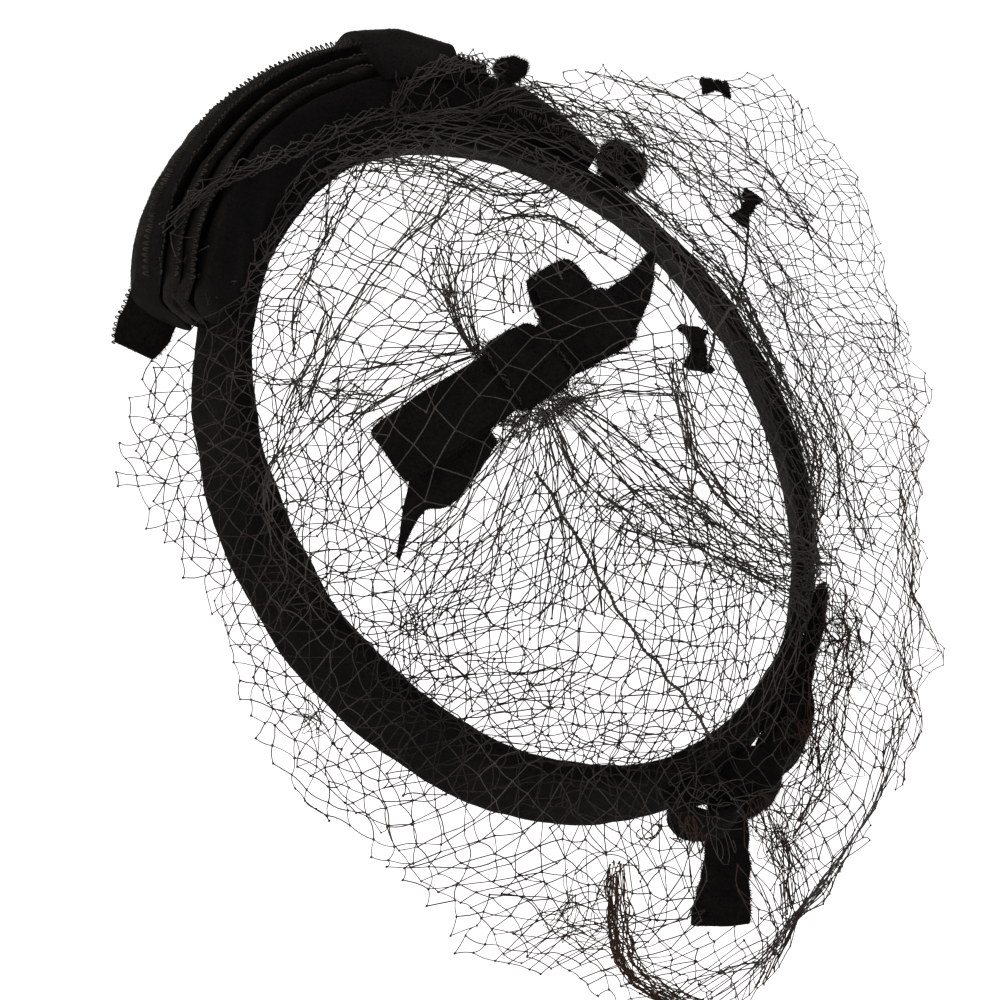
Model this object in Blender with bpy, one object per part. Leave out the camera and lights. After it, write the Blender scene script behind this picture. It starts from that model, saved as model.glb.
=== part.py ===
"""Black velvet bandeau hat with a ribbon coronet, velvet bows and a net veil.

Lengths are in millimetres until add_mesh() turns them into metres. The frame is the
wearer's: +Z is up, -Y is the front, +X is the wearer's left, and the origin is the
middle of the head opening, level with the band's lower outer edge.

Places round the head are (angle, out, up): the angle runs from +X towards +Y round the
oval of the band's lower outer edge, out is the distance outside that oval, and up is Z.
"""

import math

import bmesh
import bpy
import numpy as np

MM = 0.001

# Head band: an oval velvet-covered pad that leans in over the head.
BAND_HALF_WIDTH = 82.3
BAND_HALF_LENGTH = 98.9
BAND_FACE = 19.6
BAND_LEAN = math.radians(28.0)
BAND_THICKNESS = 4.8
BAND_STEPS = 64

# The clearance of a trim from what it is sewn to, and a velvet ribbon's thickness.
GAP = 0.5
RIBBON = 1.6

# Coronet: the standing ribbons on the front of the band.
CORONET_LEFT = 323.0
CORONET_RIGHT = 248.0
CORONET_STEPS = 38
CORONET_POINTS = 7
TIER = 1.8

# How far the coronet flares from the band, and how high it rises, round the front.
CORONET_SHAPE = [
    # angle, flare, rise
    (248.0, 0.70, 0.88),
    (256.0, 0.78, 0.95),
    (264.0, 0.90, 1.00),
    (278.0, 0.96, 1.00),
    (296.0, 1.00, 1.00),
    (312.0, 1.00, 1.00),
    (318.0, 0.97, 0.98),
    (323.0, 0.88, 0.92),
]

# Sections of the coronet: climb is up the band's leaning face, stand is out from it.
BASE_INNER_FACE = [
    # climb, stand
    (11.5, 0.9),
    (17.0, 1.1),
    (21.0, 3.4),
    (24.8, 8.6),
    (27.4, 14.0),
]
BASE_OUTER_FACE = [
    # climb, stand
    (8.9, 1.2),
    (11.0, 6.6),
    (14.0, 10.6),
    (18.8, 13.4),
    (26.2, 15.6),
]
INNER_TIER = [
    # climb, stand
    (7.2, 2.0),
    (8.7, 8.2),
    (12.0, 13.1),
    (17.4, 16.3),
    (25.2, 18.2),
]
MIDDLE_TIER = [
    # climb, stand
    (4.3, 2.6),
    (5.9, 9.4),
    (9.6, 15.6),
    (15.8, 19.2),
    (23.2, 21.3),
]
ROLL_INNER_FACE = [
    # climb, stand
    (2.4, 3.2),
    (3.9, 10.6),
    (8.2, 17.6),
    (14.8, 21.3),
    (20.4, 23.6),
]
ROLL_OUTER_FACE = [
    # climb, stand
    (-0.6, 3.0),
    (-2.0, 12.0),
    (1.6, 21.6),
    (10.5, 26.2),
    (20.8, 25.4),
]
FOLD = [
    # climb, stand
    (29.6, 13.4),
    (28.9, 17.2),
    (25.6, 22.2),
    (22.3, 26.6),
    (15.0, 28.2),
    (6.5, 27.4),
    (1.0, 24.4),
]
FOLD_LEFT = 271.0
FOLD_RIGHT = 255.0
FOLD_STEPS = 8

# The coronet's low end on the wearer's right.
END_INNER_FACE = [
    # climb, stand
    (3.0, 1.3),
    (10.0, 1.4),
    (17.5, 1.3),
    (22.5, 3.8),
]
END_OUTER_FACE = [
    # climb, stand
    (3.2, 4.6),
    (7.6, 12.6),
    (15.6, 15.4),
    (25.0, 9.6),
]
END_SHAPE = [
    # angle, flare, rise
    (225.0, 0.55, 0.80),
    (232.0, 0.74, 0.90),
    (240.0, 0.94, 0.98),
    (247.3, 1.00, 1.00),
]
END_STEPS = 12

BALL_ANGLE = 219.5
BALL_CLIMB = 15.6
BALL_HALF = (6.8, 6.3, 6.3)

# Small knot on the coronet's top.
CORONET_KNOT_ANGLE = 244.6
CORONET_KNOT_CLIMB = 22.4
CORONET_KNOT_STAND = 16.5
CORONET_KNOT_HALF = (4.2, 3.4, 3.4)

# Cut ribbon end below the coronet's left end.
LEFT_END_LENGTH = 19.5
LEFT_END_WIDTH = 14.0
LEFT_END_ROOT = (66.6, -75.0, 0.3)
LEFT_END_HEADING = 42.0
LEFT_END_DROOP = 2.5
LEFT_END_TILT = -0.12

# Veil: heights of the dome of net inside the band, from the crown to the band.
VEIL_THICKNESS = 1.0
VEIL_DOME = [
    # reach, up
    (0.00, 56.0),
    (0.22, 55.0),
    (0.42, 51.8),
    (0.60, 46.6),
    (0.76, 39.8),
    (0.88, 32.6),
    (0.96, 25.6),
]
# The dome narrows to an oval this far outside the band's, and crosses the band here.
DOME_EDGE_OUT = -12.2
CROSSING_OUT = -9.0
SKIRT_STEPS = 6

# The veil round the head: where it crosses the band's top, half way to the hem, the hem.
VEIL_ROUND = [
    # angle, crossing_up, middle_up, hem_out, hem_up
    (0.0, 17.9, 12.6, 6.0, -4.0),
    (10.0, 17.9, 12.8, 8.0, -2.0),
    (20.0, 17.9, 13.2, 15.0, -3.0),
    (30.0, 17.9, 13.2, 16.0, -3.0),
    (40.0, 17.9, 13.6, 17.0, -1.0),
    (51.0, 17.9, 13.4, 27.0, -7.0),
    (62.0, 17.9, 14.0, 34.0, -9.0),
    (74.0, 19.2, 17.5, 47.0, -17.0),
    (86.0, 20.2, 20.5, 57.0, -27.0),
    (98.0, 20.6, 20.5, 50.0, -24.0),
    (110.0, 20.6, 19.5, 47.0, -17.0),
    (124.0, 20.2, 18.0, 44.0, -11.0),
    (138.0, 18.3, 16.0, 41.0, -6.0),
    (152.0, 18.0, 15.0, 42.0, -2.0),
    (166.0, 18.0, 17.5, 47.0, 3.0),
    (180.0, 19.2, 22.0, 53.0, 12.0),
    (194.0, 20.6, 27.0, 58.0, 22.0),
    (204.0, 23.2, 30.0, 54.0, 27.0),
    (213.0, 25.6, 31.5, 42.0, 28.0),
    (222.0, 26.6, 30.5, 24.0, 26.5),
    (232.0, 26.8, 29.0, 15.0, 26.5),
    (238.0, 27.4, 28.8, 4.0, 28.6),
    (242.0, 27.8, 28.6, -2.0, 29.4),
    (246.0, 26.4, 27.6, -5.0, 29.6),
    (250.0, 21.6, 23.2, -6.6, 25.4),
    (262.0, 20.9, 22.6, -6.6, 25.2),
    (280.0, 20.9, 22.6, -6.6, 25.2),
    (300.0, 20.9, 22.6, -6.6, 25.2),
    (316.0, 20.9, 22.6, -6.6, 25.2),
    (323.6, 21.4, 23.0, -6.2, 25.4),
    (326.0, 21.8, 22.4, 3.0, 21.5),
    (330.0, 20.2, 18.6, 11.0, 13.5),
    (336.0, 18.2, 15.0, 14.5, 7.0),
    (345.0, 17.9, 13.6, 14.0, 1.0),
    (353.0, 17.9, 12.8, 10.0, -2.0),
]

# Bow on the crown: its middle on the dome, and the turn of its long axis from +X.
CROWN_BOW_AT = (20.0, -7.0)
CROWN_BOW_TURN = math.radians(5.0)
CROWN_KNOT_HALF = (7.0, 8.0, 4.6)
CROWN_KNOT_LIFT = 0.8
LEFT_LOOP = [
    # along, up
    (8.4, 3.7),
    (13.0, 3.4),
    (22.0, 3.3),
    (31.5, 3.8),
    (34.4, 5.3),
    (31.5, 7.4),
    (22.0, 7.9),
    (13.0, 7.5),
    (8.4, 6.2),
]
RIGHT_LOOP = [
    # along, up
    (-8.4, 5.6),
    (-13.0, 6.9),
    (-18.5, 7.4),
    (-23.4, 6.4),
    (-24.8, 4.4),
    (-23.0, 2.8),
    (-18.0, 2.4),
    (-13.0, 2.6),
    (-8.4, 3.4),
]
FRONT_LOOP = [
    # along, up
    (0.0, 3.8),
    (2.4, 2.4),
    (5.2, 2.6),
    (7.0, 5.2),
    (6.0, 8.2),
    (3.0, 8.6),
    (0.3, 6.6),
]
# The long loops' axes turn from the bow's own by these angles.
LEFT_LOOP_TURN = math.radians(3.0)
RIGHT_LOOP_TURN = 0.0
# The knot and the long loops lie this far across from the bow's own axis.
CROWN_BOW_SHIFT = 1.8
# Each loop narrows outwards: distance along it, half width there.
CROWN_LOOP_NEAR = (8.0, 7.2)
CROWN_LOOP_FAR = (35.0, 6.4)
FRONT_LOOP_NEAR = (0.0, 6.8)
FRONT_LOOP_FAR = (7.0, 4.8)
FRONT_LOOP_ROOT = (-16.0, -7.0)
LEFT_TAIL_ROOT = (5.0, 10.4)
LEFT_TAIL_HEADING = math.radians(6.0)
LEFT_TAIL = [
    # along, near_edge, far_edge
    (6.2, -6.0, 1.6),
    (9.5, -6.2, 3.4),
    (13.9, -6.4, 5.6),
    (19.0, -6.2, 7.4),
    (22.0, -4.8, 7.2),
    (24.4, -1.4, 5.6),
    (27.2, 2.0, 6.4),
    (30.2, 6.0, 8.6),
    (33.0, 10.0, 11.2),
]
TAIL_LIFT = 0.5
TAIL_THICKNESS = 1.2
RIGHT_TAIL_ROOT = (-29.0, -8.0)
RIGHT_TAIL_HEADING = math.radians(203.0)
RIGHT_TAIL = [
    # along, near_edge, far_edge
    (-6.0, -10.4, 1.2),
    (-2.0, -9.6, 1.2),
    (2.0, -8.8, 0.6),
    (6.0, -7.8, 0.0),
    (10.0, -6.4, -0.3),
    (14.0, -4.8, -0.4),
    (18.5, -2.8, -0.4),
    (22.8, -1.2, -0.2),
]

# Bow at the back, on the band's outer face: angle round the head, stand from the face.
BACK_LOOP_WIDTH = 15.0
BACK_LOOP_CLIMB = 8.0
BACK_MM_PER_DEGREE = 1.9
LONG_LOOP = [
    # angle, stand
    (99.9, 8.2),
    (103.0, 10.4),
    (107.5, 10.4),
    (111.0, 8.6),
    (114.5, 5.6),
    (119.0, 4.0),
    (126.0, 3.7),
    (131.5, 3.7),
    (134.0, 2.6),
    (131.0, 1.5),
    (124.0, 1.4),
    (114.0, 1.5),
    (107.0, 2.0),
    (102.0, 3.0),
    (99.9, 5.0),
]
SHORT_LOOP = [
    # angle, stand
    (89.7, 6.4),
    (88.0, 3.8),
    (85.0, 2.2),
    (82.2, 2.2),
    (80.6, 4.4),
    (81.2, 8.2),
    (83.6, 11.2),
    (87.0, 12.6),
    (89.7, 10.6),
]
BACK_KNOT_ANGLE = 95.0
BACK_KNOT_HALF = (6.3, 6.9, 9.2)
BACK_KNOT_STAND = 7.6
BACK_TAIL = [
    # x, y, z, half_width
    (-6.4, 101.5, -0.8, 5.2),
    (-3.0, 110.5, -2.8, 5.6),
    (0.6, 119.5, -7.2, 6.2),
    (3.2, 127.0, -12.0, 7.2),
    (4.8, 133.5, -17.0, 8.0),
]

# Tiny bows sewn on the veil: angle, share of the way from crown to hem, turn, length.
VEIL_BOWS = [
    # angle, row, turn, length
    (213.0, 9.6, 20.0, 8.5),
    (197.0, 7.05, 75.0, 9.5),
    (174.0, 0.6, 60.0, 10.0),
]
VEIL_BOW_THICKNESS = 2.2

VELVET = ("velvet", (0.010, 0.009, 0.009), 0.95)
NETTING = ("netting", (0.022, 0.016, 0.013), 0.80)


def clear_scene():
    """Remove every object, so the script can run again in one session."""
    for item in list(bpy.data.objects):
        bpy.data.objects.remove(item, do_unlink=True)


def material(kind, node):
    """A Principled BSDF of the kind's colour and roughness, for one node."""
    name, colour, roughness = kind
    made = bpy.data.materials.new(f"{name}_{node}")
    made.use_nodes = True
    shader = made.node_tree.nodes["Principled BSDF"]
    shader.inputs["Base Color"].default_value = (*colour, 1.0)
    shader.inputs["Roughness"].default_value = roughness
    shader.inputs["Metallic"].default_value = 0.0
    return made


def add_mesh(name, points, faces, kind):
    """An object of the points, in millimetres, with its faces turned outwards."""
    mesh = bpy.data.meshes.new(name)
    mesh.from_pydata([[float(c) * MM for c in p] for p in points], [], faces)
    work = bmesh.new()
    work.from_mesh(mesh)
    bmesh.ops.recalc_face_normals(work, faces=work.faces)
    if work.calc_volume(signed=True) < 0.0:
        bmesh.ops.reverse_faces(work, faces=work.faces)
    work.to_mesh(mesh)
    work.free()
    mesh.shade_smooth()
    mesh.set_sharp_from_angle(angle=math.radians(50.0))
    mesh.materials.append(material(kind, name))
    made = bpy.data.objects.new(name, mesh)
    bpy.context.collection.objects.link(made)
    return made


def through(rows, count):
    """Count points, evenly spaced along a smooth curve through the rows."""
    rows = np.array(rows, float)
    ends = np.vstack([2 * rows[0] - rows[1], rows, 2 * rows[-1] - rows[-2]])
    dense = []
    for p, q, r, s in zip(ends, ends[1:], ends[2:], ends[3:]):
        for t in np.linspace(0.0, 1.0, 16, endpoint=False):
            dense.append(catmull(p, q, r, s, t))
    dense.append(rows[-1])
    dense = np.array(dense)
    steps = np.linalg.norm(np.diff(dense, axis=0), axis=1)
    travel = np.concatenate([[0.0], np.cumsum(steps)])
    wanted = np.linspace(0.0, travel[-1], count)
    return np.column_stack([np.interp(wanted, travel, column) for column in dense.T])


def catmull(p, q, r, s, t):
    """The point at t between q and r on the curve through p, q, r and s."""
    return 0.5 * (
        2 * q + (r - p) * t + (2 * p - 5 * q + 4 * r - s) * t**2
        + (3 * q - p - 3 * r + s) * t**3
    )


def smooth_closed(rows, count):
    """Count points, evenly spaced along a smooth closed curve through the rows."""
    rows = np.array(rows, float)
    dense = []
    for k in range(len(rows)):
        p, q, r, s = (rows[(k + j) % len(rows)] for j in (-1, 0, 1, 2))
        for t in np.linspace(0.0, 1.0, 12, endpoint=False):
            dense.append(catmull(p, q, r, s, t))
    dense = np.array(dense + [dense[0]])
    steps = np.linalg.norm(np.diff(dense, axis=0), axis=1)
    travel = np.concatenate([[0.0], np.cumsum(steps)])
    wanted = np.linspace(0.0, travel[-1], count, endpoint=False)
    return np.column_stack([np.interp(wanted, travel, column) for column in dense.T])


def at_angle(table, angle):
    """The columns after the first, read at an angle between the table's rows."""
    rows = np.array(table, float)
    return [float(np.interp(angle, rows[:, 0], column)) for column in rows.T[1:]]


def around(angle, out, up):
    """The point at an angle round the band's lower outer edge."""
    turn = math.radians(angle)
    return np.array(
        [
            (BAND_HALF_WIDTH + out) * math.cos(turn),
            (BAND_HALF_LENGTH + out) * math.sin(turn),
            up,
        ]
    )


def on_band(angle, climb, stand):
    """The point at a climb up the band's leaning face and a stand out from it."""
    out = stand * math.cos(BAND_LEAN) - climb * math.sin(BAND_LEAN)
    up = climb * math.cos(BAND_LEAN) + stand * math.sin(BAND_LEAN)
    return around(angle, out, up)


def sides_of(centre, thickness):
    """The two sides of a ribbon seen edge on, half its thickness off the centre line."""
    along = np.gradient(centre, axis=0)
    along /= np.linalg.norm(along, axis=1)[:, None]
    off = np.column_stack([-along[:, 1], along[:, 0]]) * thickness / 2
    return centre + off, centre - off


def loft(rings, closed):
    """Points and faces of a skin over rings of two equal sides each, one after another."""
    count = len(rings[0])
    points = [p for ring in rings for p in ring]
    faces = []
    spans = len(rings) if closed else len(rings) - 1
    for k in range(spans):
        first = k * count
        second = (k + 1) % len(rings) * count
        for j in range(count):
            step = (j + 1) % count
            faces.append((first + j, first + step, second + step, second + j))
    if not closed:
        for first in (0, (len(rings) - 1) * count):
            for j in range(count // 2 - 1):
                near = (first + j, first + j + 1)
                far = (first + count - 2 - j, first + count - 1 - j)
                faces.append(near + far)
    return points, faces


def tier(name, one_side, other_side, angles, shape):
    """A ribbon or pad that follows the band, its section flared and raised by a table."""
    rings = []
    for angle in angles:
        flare, rise = at_angle(shape, angle)
        outline = list(one_side) + list(other_side[::-1])
        rings.append([on_band(angle, c * rise, s * flare) for c, s in outline])
    points, faces = loft(rings, closed=False)
    add_mesh(name, points, faces, VELVET)


def strip(name, path, across, widths, thickness, closed):
    """A flat ribbon of a given width and thickness along a path."""
    path = np.array(path, float)
    if closed:
        ahead = np.roll(path, -1, axis=0) - np.roll(path, 1, axis=0)
    else:
        ahead = np.gradient(path, axis=0)
    rings = []
    for point, tangent, wide, half in zip(path, ahead, across, widths):
        tangent = tangent / np.linalg.norm(tangent)
        wide = wide - tangent * np.dot(wide, tangent)
        wide = wide / np.linalg.norm(wide)
        face = np.cross(tangent, wide) * thickness / 2
        edge = wide * half
        rings.append(
            [point - edge + face, point + edge + face, point + edge - face, point - edge - face]
        )
    points, faces = loft(rings, closed)
    add_mesh(name, points, faces, VELVET)


def pillow(name, centre, axes, halves, power, segments, rows):
    """A rounded block, like a knot of velvet, on three axes."""
    points = []
    for row in range(1, rows):
        tip = math.pi * row / rows - math.pi / 2
        for k in range(segments):
            turn = 2 * math.pi * k / segments
            unit = (
                bulge(math.cos(tip), power) * bulge(math.cos(turn), power),
                bulge(math.cos(tip), power) * bulge(math.sin(turn), power),
                bulge(math.sin(tip), power),
            )
            points.append(centre + sum(a * h * u for a, h, u in zip(axes, halves, unit)))
    low = len(points)
    points.append(centre - axes[2] * halves[2])
    points.append(centre + axes[2] * halves[2])
    faces = []
    for k in range(segments):
        step = (k + 1) % segments
        for row in range(rows - 2):
            first = row * segments
            second = first + segments
            faces.append((first + k, first + step, second + step, second + k))
        top = (rows - 2) * segments
        faces.append((low, step, k))
        faces.append((low + 1, top + k, top + step))
    add_mesh(name, points, faces, VELVET)


def bulge(value, power):
    """A sine or cosine pushed out towards a block's corners."""
    return math.copysign(abs(value) ** power, value)


def head_band():
    """The oval padded band: a flat pad with rounded edges that leans in."""
    half = BAND_THICKNESS / 2
    outline = [
        # climb, stand
        (-0.4, 0.0),
        (BAND_FACE / 2, 0.3),
        (BAND_FACE - 1.2, 0.0),
        (BAND_FACE, -half * 0.55),
        (BAND_FACE, -half * 1.45),
        (BAND_FACE - 1.6, -2 * half),
        (0.0, -2 * half),
        (-1.4, -half * 1.45),
        (-1.4, -half * 0.55),
    ]
    rings = []
    for k in range(BAND_STEPS):
        angle = 360.0 * k / BAND_STEPS
        rings.append([on_band(angle, c, s) for c, s in outline])
    points, faces = loft(rings, closed=True)
    add_mesh("head_band", points, faces, VELVET)


def coronet():
    """The nested tiers of ribbon on the front of the band."""
    angles = np.linspace(CORONET_RIGHT, CORONET_LEFT, CORONET_STEPS)
    base = (through(BASE_INNER_FACE, CORONET_POINTS), through(BASE_OUTER_FACE, CORONET_POINTS))
    tier("coronet_base", *base, angles, CORONET_SHAPE)
    inner = sides_of(through(INNER_TIER, CORONET_POINTS), TIER)
    tier("coronet_ribbon_inner", *inner, angles, CORONET_SHAPE)
    middle = sides_of(through(MIDDLE_TIER, CORONET_POINTS), TIER)
    tier("coronet_ribbon_middle", *middle, angles, CORONET_SHAPE)
    roll = (through(ROLL_INNER_FACE, CORONET_POINTS), through(ROLL_OUTER_FACE, CORONET_POINTS))
    tier("coronet_roll", *roll, angles, CORONET_SHAPE)
    fold_angles = np.linspace(FOLD_RIGHT, FOLD_LEFT, FOLD_STEPS)
    fold = sides_of(through(FOLD, 12), RIBBON)
    tier("coronet_fold", *fold, fold_angles, CORONET_SHAPE)
    end_angles = np.linspace(END_SHAPE[0][0], END_SHAPE[-1][0], END_STEPS)
    end = (through(END_INNER_FACE, CORONET_POINTS), through(END_OUTER_FACE, CORONET_POINTS))
    tier("coronet_ribbon_end", *end, end_angles, END_SHAPE)


def band_axes(angle):
    """Unit axes at an angle: along the band, out from its face, and up its face."""
    here = on_band(angle, 0.0, 0.0)
    along = on_band(angle + 0.5, 0.0, 0.0) - on_band(angle - 0.5, 0.0, 0.0)
    stand = on_band(angle, 0.0, 1.0) - here
    climb = on_band(angle, 1.0, 0.0) - here
    return [axis / np.linalg.norm(axis) for axis in (along, stand, climb)]


def coronet_trims():
    """The small knot on the coronet and the ball at its right end."""
    knot = on_band(CORONET_KNOT_ANGLE, CORONET_KNOT_CLIMB, CORONET_KNOT_STAND)
    axes = band_axes(CORONET_KNOT_ANGLE)
    pillow("coronet_knot", knot, axes, CORONET_KNOT_HALF, 0.8, 10, 6)
    ball = on_band(BALL_ANGLE, BALL_CLIMB, BALL_HALF[1] + GAP)
    pillow("side_ball", ball, band_axes(BALL_ANGLE), BALL_HALF, 0.9, 14, 9)


def left_ribbon_end():
    """The cut end of the ribbon, flat under the roll and out past its end."""
    heading = math.radians(LEFT_END_HEADING)
    ahead = np.array([math.cos(heading), math.sin(heading), 0.0])
    path = []
    for share in np.linspace(0.0, 1.0, 6):
        droop = np.array([0.0, 0.0, -LEFT_END_DROOP * share**2])
        path.append(np.array(LEFT_END_ROOT) + ahead * LEFT_END_LENGTH * share + droop)
    across = [np.array([-ahead[1], ahead[0], LEFT_END_TILT])] * len(path)
    widths = [LEFT_END_WIDTH / 2] * len(path)
    strip("left_ribbon_end", path, across, widths, RIBBON, closed=False)


def veil_row(row):
    """Control points (angle fixed) of the veil from the crown to the hem."""
    angle, crossing_up, middle_up, hem_out, hem_up = row
    edge = around(angle, DOME_EDGE_OUT, 0.0)
    points = [np.array([edge[0] * reach, edge[1] * reach, up]) for reach, up in VEIL_DOME]
    middle_out = (CROSSING_OUT + hem_out) / 2
    points.append(around(angle, CROSSING_OUT, crossing_up))
    points.append(around(angle, middle_out, middle_up))
    points.append(around(angle, hem_out, hem_up))
    return points


def veil_rows():
    """The veil's table with a row added half way between each two of its rows."""
    rows = []
    for k, row in enumerate(VEIL_ROUND):
        after = VEIL_ROUND[(k + 1) % len(VEIL_ROUND)]
        wrapped = after if k + 1 < len(VEIL_ROUND) else (360.0, *after[1:])
        rows.append(row)
        rows.append(tuple((a + b) / 2 for a, b in zip(row, wrapped)))
    return rows


def veil_grid():
    """The veil's middle surface: a column of points, crown to hem, at each angle."""
    grid = []
    for row in veil_rows():
        points = veil_row(row)
        dome = points[1 : len(VEIL_DOME)]
        skirt = through(points[len(VEIL_DOME) - 1 :], SKIRT_STEPS + 1)[1:]
        grid.append(dome + list(skirt))
    return np.array(grid)


def veil_normals(grid):
    """Unit normals of the grid's points, on the side away from the head."""
    round_it = np.roll(grid, -1, axis=0) - np.roll(grid, 1, axis=0)
    crown = np.broadcast_to([0.0, 0.0, VEIL_DOME[0][1]], (len(grid), 1, 3))
    padded = np.concatenate([crown, grid, 2 * grid[:, -1:] - grid[:, -2:-1]], axis=1)
    down = padded[:, 2:] - padded[:, :-2]
    normals = np.cross(down, round_it)
    return normals / np.linalg.norm(normals, axis=2)[:, :, None]


def veil(grid, normals):
    """The outer form of the net: a thin shell over the opening and round the band."""
    columns, rows, _ = grid.shape
    offset = normals * VEIL_THICKNESS / 2
    skins = [grid + offset, grid - offset]
    points = [p for skin in skins for column in skin for p in column]
    crowns = [len(points), len(points) + 1]
    crown_up = VEIL_DOME[0][1]
    points.append([0.0, 0.0, crown_up + VEIL_THICKNESS / 2])
    points.append([0.0, 0.0, crown_up - VEIL_THICKNESS / 2])
    faces = []
    for side, crown in enumerate(crowns):
        start = side * columns * rows
        for k in range(columns):
            here = start + k * rows
            there = start + (k + 1) % columns * rows
            turn = (crown, here, there) if side == 0 else (crown, there, here)
            faces.append(turn)
            for j in range(rows - 1):
                quad = (here + j, here + j + 1, there + j + 1, there + j)
                faces.append(quad if side == 0 else quad[::-1])
    for k in range(columns):
        here = k * rows + rows - 1
        there = (k + 1) % columns * rows + rows - 1
        under = columns * rows
        faces.append((here, here + under, there + under, there))
    add_mesh("veil", points, faces, NETTING)


def dome_height(x, y):
    """The height of the veil's outer skin inside the band."""
    reach = math.hypot(
        x / (BAND_HALF_WIDTH + DOME_EDGE_OUT), y / (BAND_HALF_LENGTH + DOME_EDGE_OUT)
    )
    reaches, heights = zip(*VEIL_DOME)
    return float(np.interp(reach, reaches, heights)) + VEIL_THICKNESS / 2


def on_dome(x, y, lift):
    """The point a lift above the dome, straight out from it."""
    step = 4.0
    here = np.array([x, y, dome_height(x, y)])
    slope_x = (dome_height(x + step, y) - dome_height(x - step, y)) / (2 * step)
    slope_y = (dome_height(x, y + step) - dome_height(x, y - step)) / (2 * step)
    normal = np.array([-slope_x, -slope_y, 1.0])
    normal /= np.linalg.norm(normal)
    return here + normal * lift, normal


def crown_bow_frame():
    """The crown bow's origin on the dome and its axes: along, across, away."""
    origin, away = on_dome(*CROWN_BOW_AT, 0.0)
    along = np.array([math.cos(CROWN_BOW_TURN), math.sin(CROWN_BOW_TURN), 0.0])
    along -= away * np.dot(along, away)
    along /= np.linalg.norm(along)
    return origin, (along, np.cross(away, along), away)


def crown_bow():
    """The bow on the crown: a knot, two long loops, a short front loop and two tails."""
    origin, (along, across, away) = crown_bow_frame()
    middle = origin + across * CROWN_BOW_SHIFT
    centre = middle + away * (CROWN_KNOT_HALF[2] + CROWN_KNOT_LIFT)
    pillow("crown_bow_knot", centre, (along, across, away), CROWN_KNOT_HALF, 0.55, 16, 8)
    reaches, halves = zip(CROWN_LOOP_NEAR, CROWN_LOOP_FAR)
    for name, table, turn in (
        ("left", LEFT_LOOP, LEFT_LOOP_TURN),
        ("right", RIGHT_LOOP, RIGHT_LOOP_TURN),
    ):
        axis = along * math.cos(turn) + across * math.sin(turn)
        sideways = np.cross(away, axis)
        flat = smooth_closed(table, 20)
        path = [middle + axis * a + away * u for a, u in flat]
        widths = np.interp(np.abs(flat[:, 0]), reaches, halves)
        strip(f"crown_bow_loop_{name}", path, [sideways] * len(path), widths, RIBBON, closed=True)
    root = origin + along * FRONT_LOOP_ROOT[0] + across * FRONT_LOOP_ROOT[1]
    flat = smooth_closed(FRONT_LOOP, 16)
    path = [root - across * a + away * u for a, u in flat]
    reaches, halves = zip(FRONT_LOOP_NEAR, FRONT_LOOP_FAR)
    widths = np.interp(flat[:, 0], reaches, halves)
    strip("crown_bow_loop_front", path, [along] * len(path), widths, RIBBON, closed=True)
    tail("crown_bow_tail_left", LEFT_TAIL, LEFT_TAIL_ROOT, LEFT_TAIL_HEADING)
    tail("crown_bow_tail_right", RIGHT_TAIL, RIGHT_TAIL_ROOT, RIGHT_TAIL_HEADING)


def tail(name, table, root, heading):
    """A ribbon end laid on the dome, its edges from a table along its length."""
    ahead = np.array([math.cos(heading), math.sin(heading)])
    aside = np.array([-ahead[1], ahead[0]])
    start = np.array(CROWN_BOW_AT) + np.array(root)
    rings = []
    for along, near, far in through(table, 15):
        spots = [start + ahead * along + aside * side for side in (near, (near + far) / 2, far)]
        low = [on_dome(*spot, TAIL_LIFT)[0] for spot in spots]
        high = [on_dome(*spot, TAIL_LIFT + TAIL_THICKNESS)[0] for spot in spots]
        rings.append(low + high[::-1])
    points, faces = loft(rings, closed=False)
    add_mesh(name, points, faces, VELVET)


def back_bow():
    """The bow at the back: a knot, a long and a short loop on the band, and a tail."""
    climb_axis = band_axes(BACK_KNOT_ANGLE)[2]
    half = BACK_LOOP_WIDTH / 2
    for name, table in (("long", LONG_LOOP), ("short", SHORT_LOOP)):
        flat = smooth_closed([(angle * BACK_MM_PER_DEGREE, s) for angle, s in table], 22)
        places = [(travel / BACK_MM_PER_DEGREE, s) for travel, s in flat]
        path = [on_band(angle, BACK_LOOP_CLIMB, s) for angle, s in places]
        sideways = [band_axes(angle)[2] for angle, _ in places]
        widths = [half] * len(path)
        strip(f"back_bow_loop_{name}", path, sideways, widths, RIBBON, closed=True)
    centre = on_band(BACK_KNOT_ANGLE, BACK_LOOP_CLIMB, BACK_KNOT_STAND)
    axes = band_axes(BACK_KNOT_ANGLE)
    pillow("back_bow_knot", centre, axes, BACK_KNOT_HALF, 0.6, 16, 9)
    rows = through(BACK_TAIL, 8)
    level = np.cross(rows[-1][:3] - rows[0][:3], climb_axis)
    path = [row[:3] for row in rows]
    widths = [row[3] for row in rows]
    strip("back_bow_tail", path, [level] * len(path), widths, RIBBON, closed=False)


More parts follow.
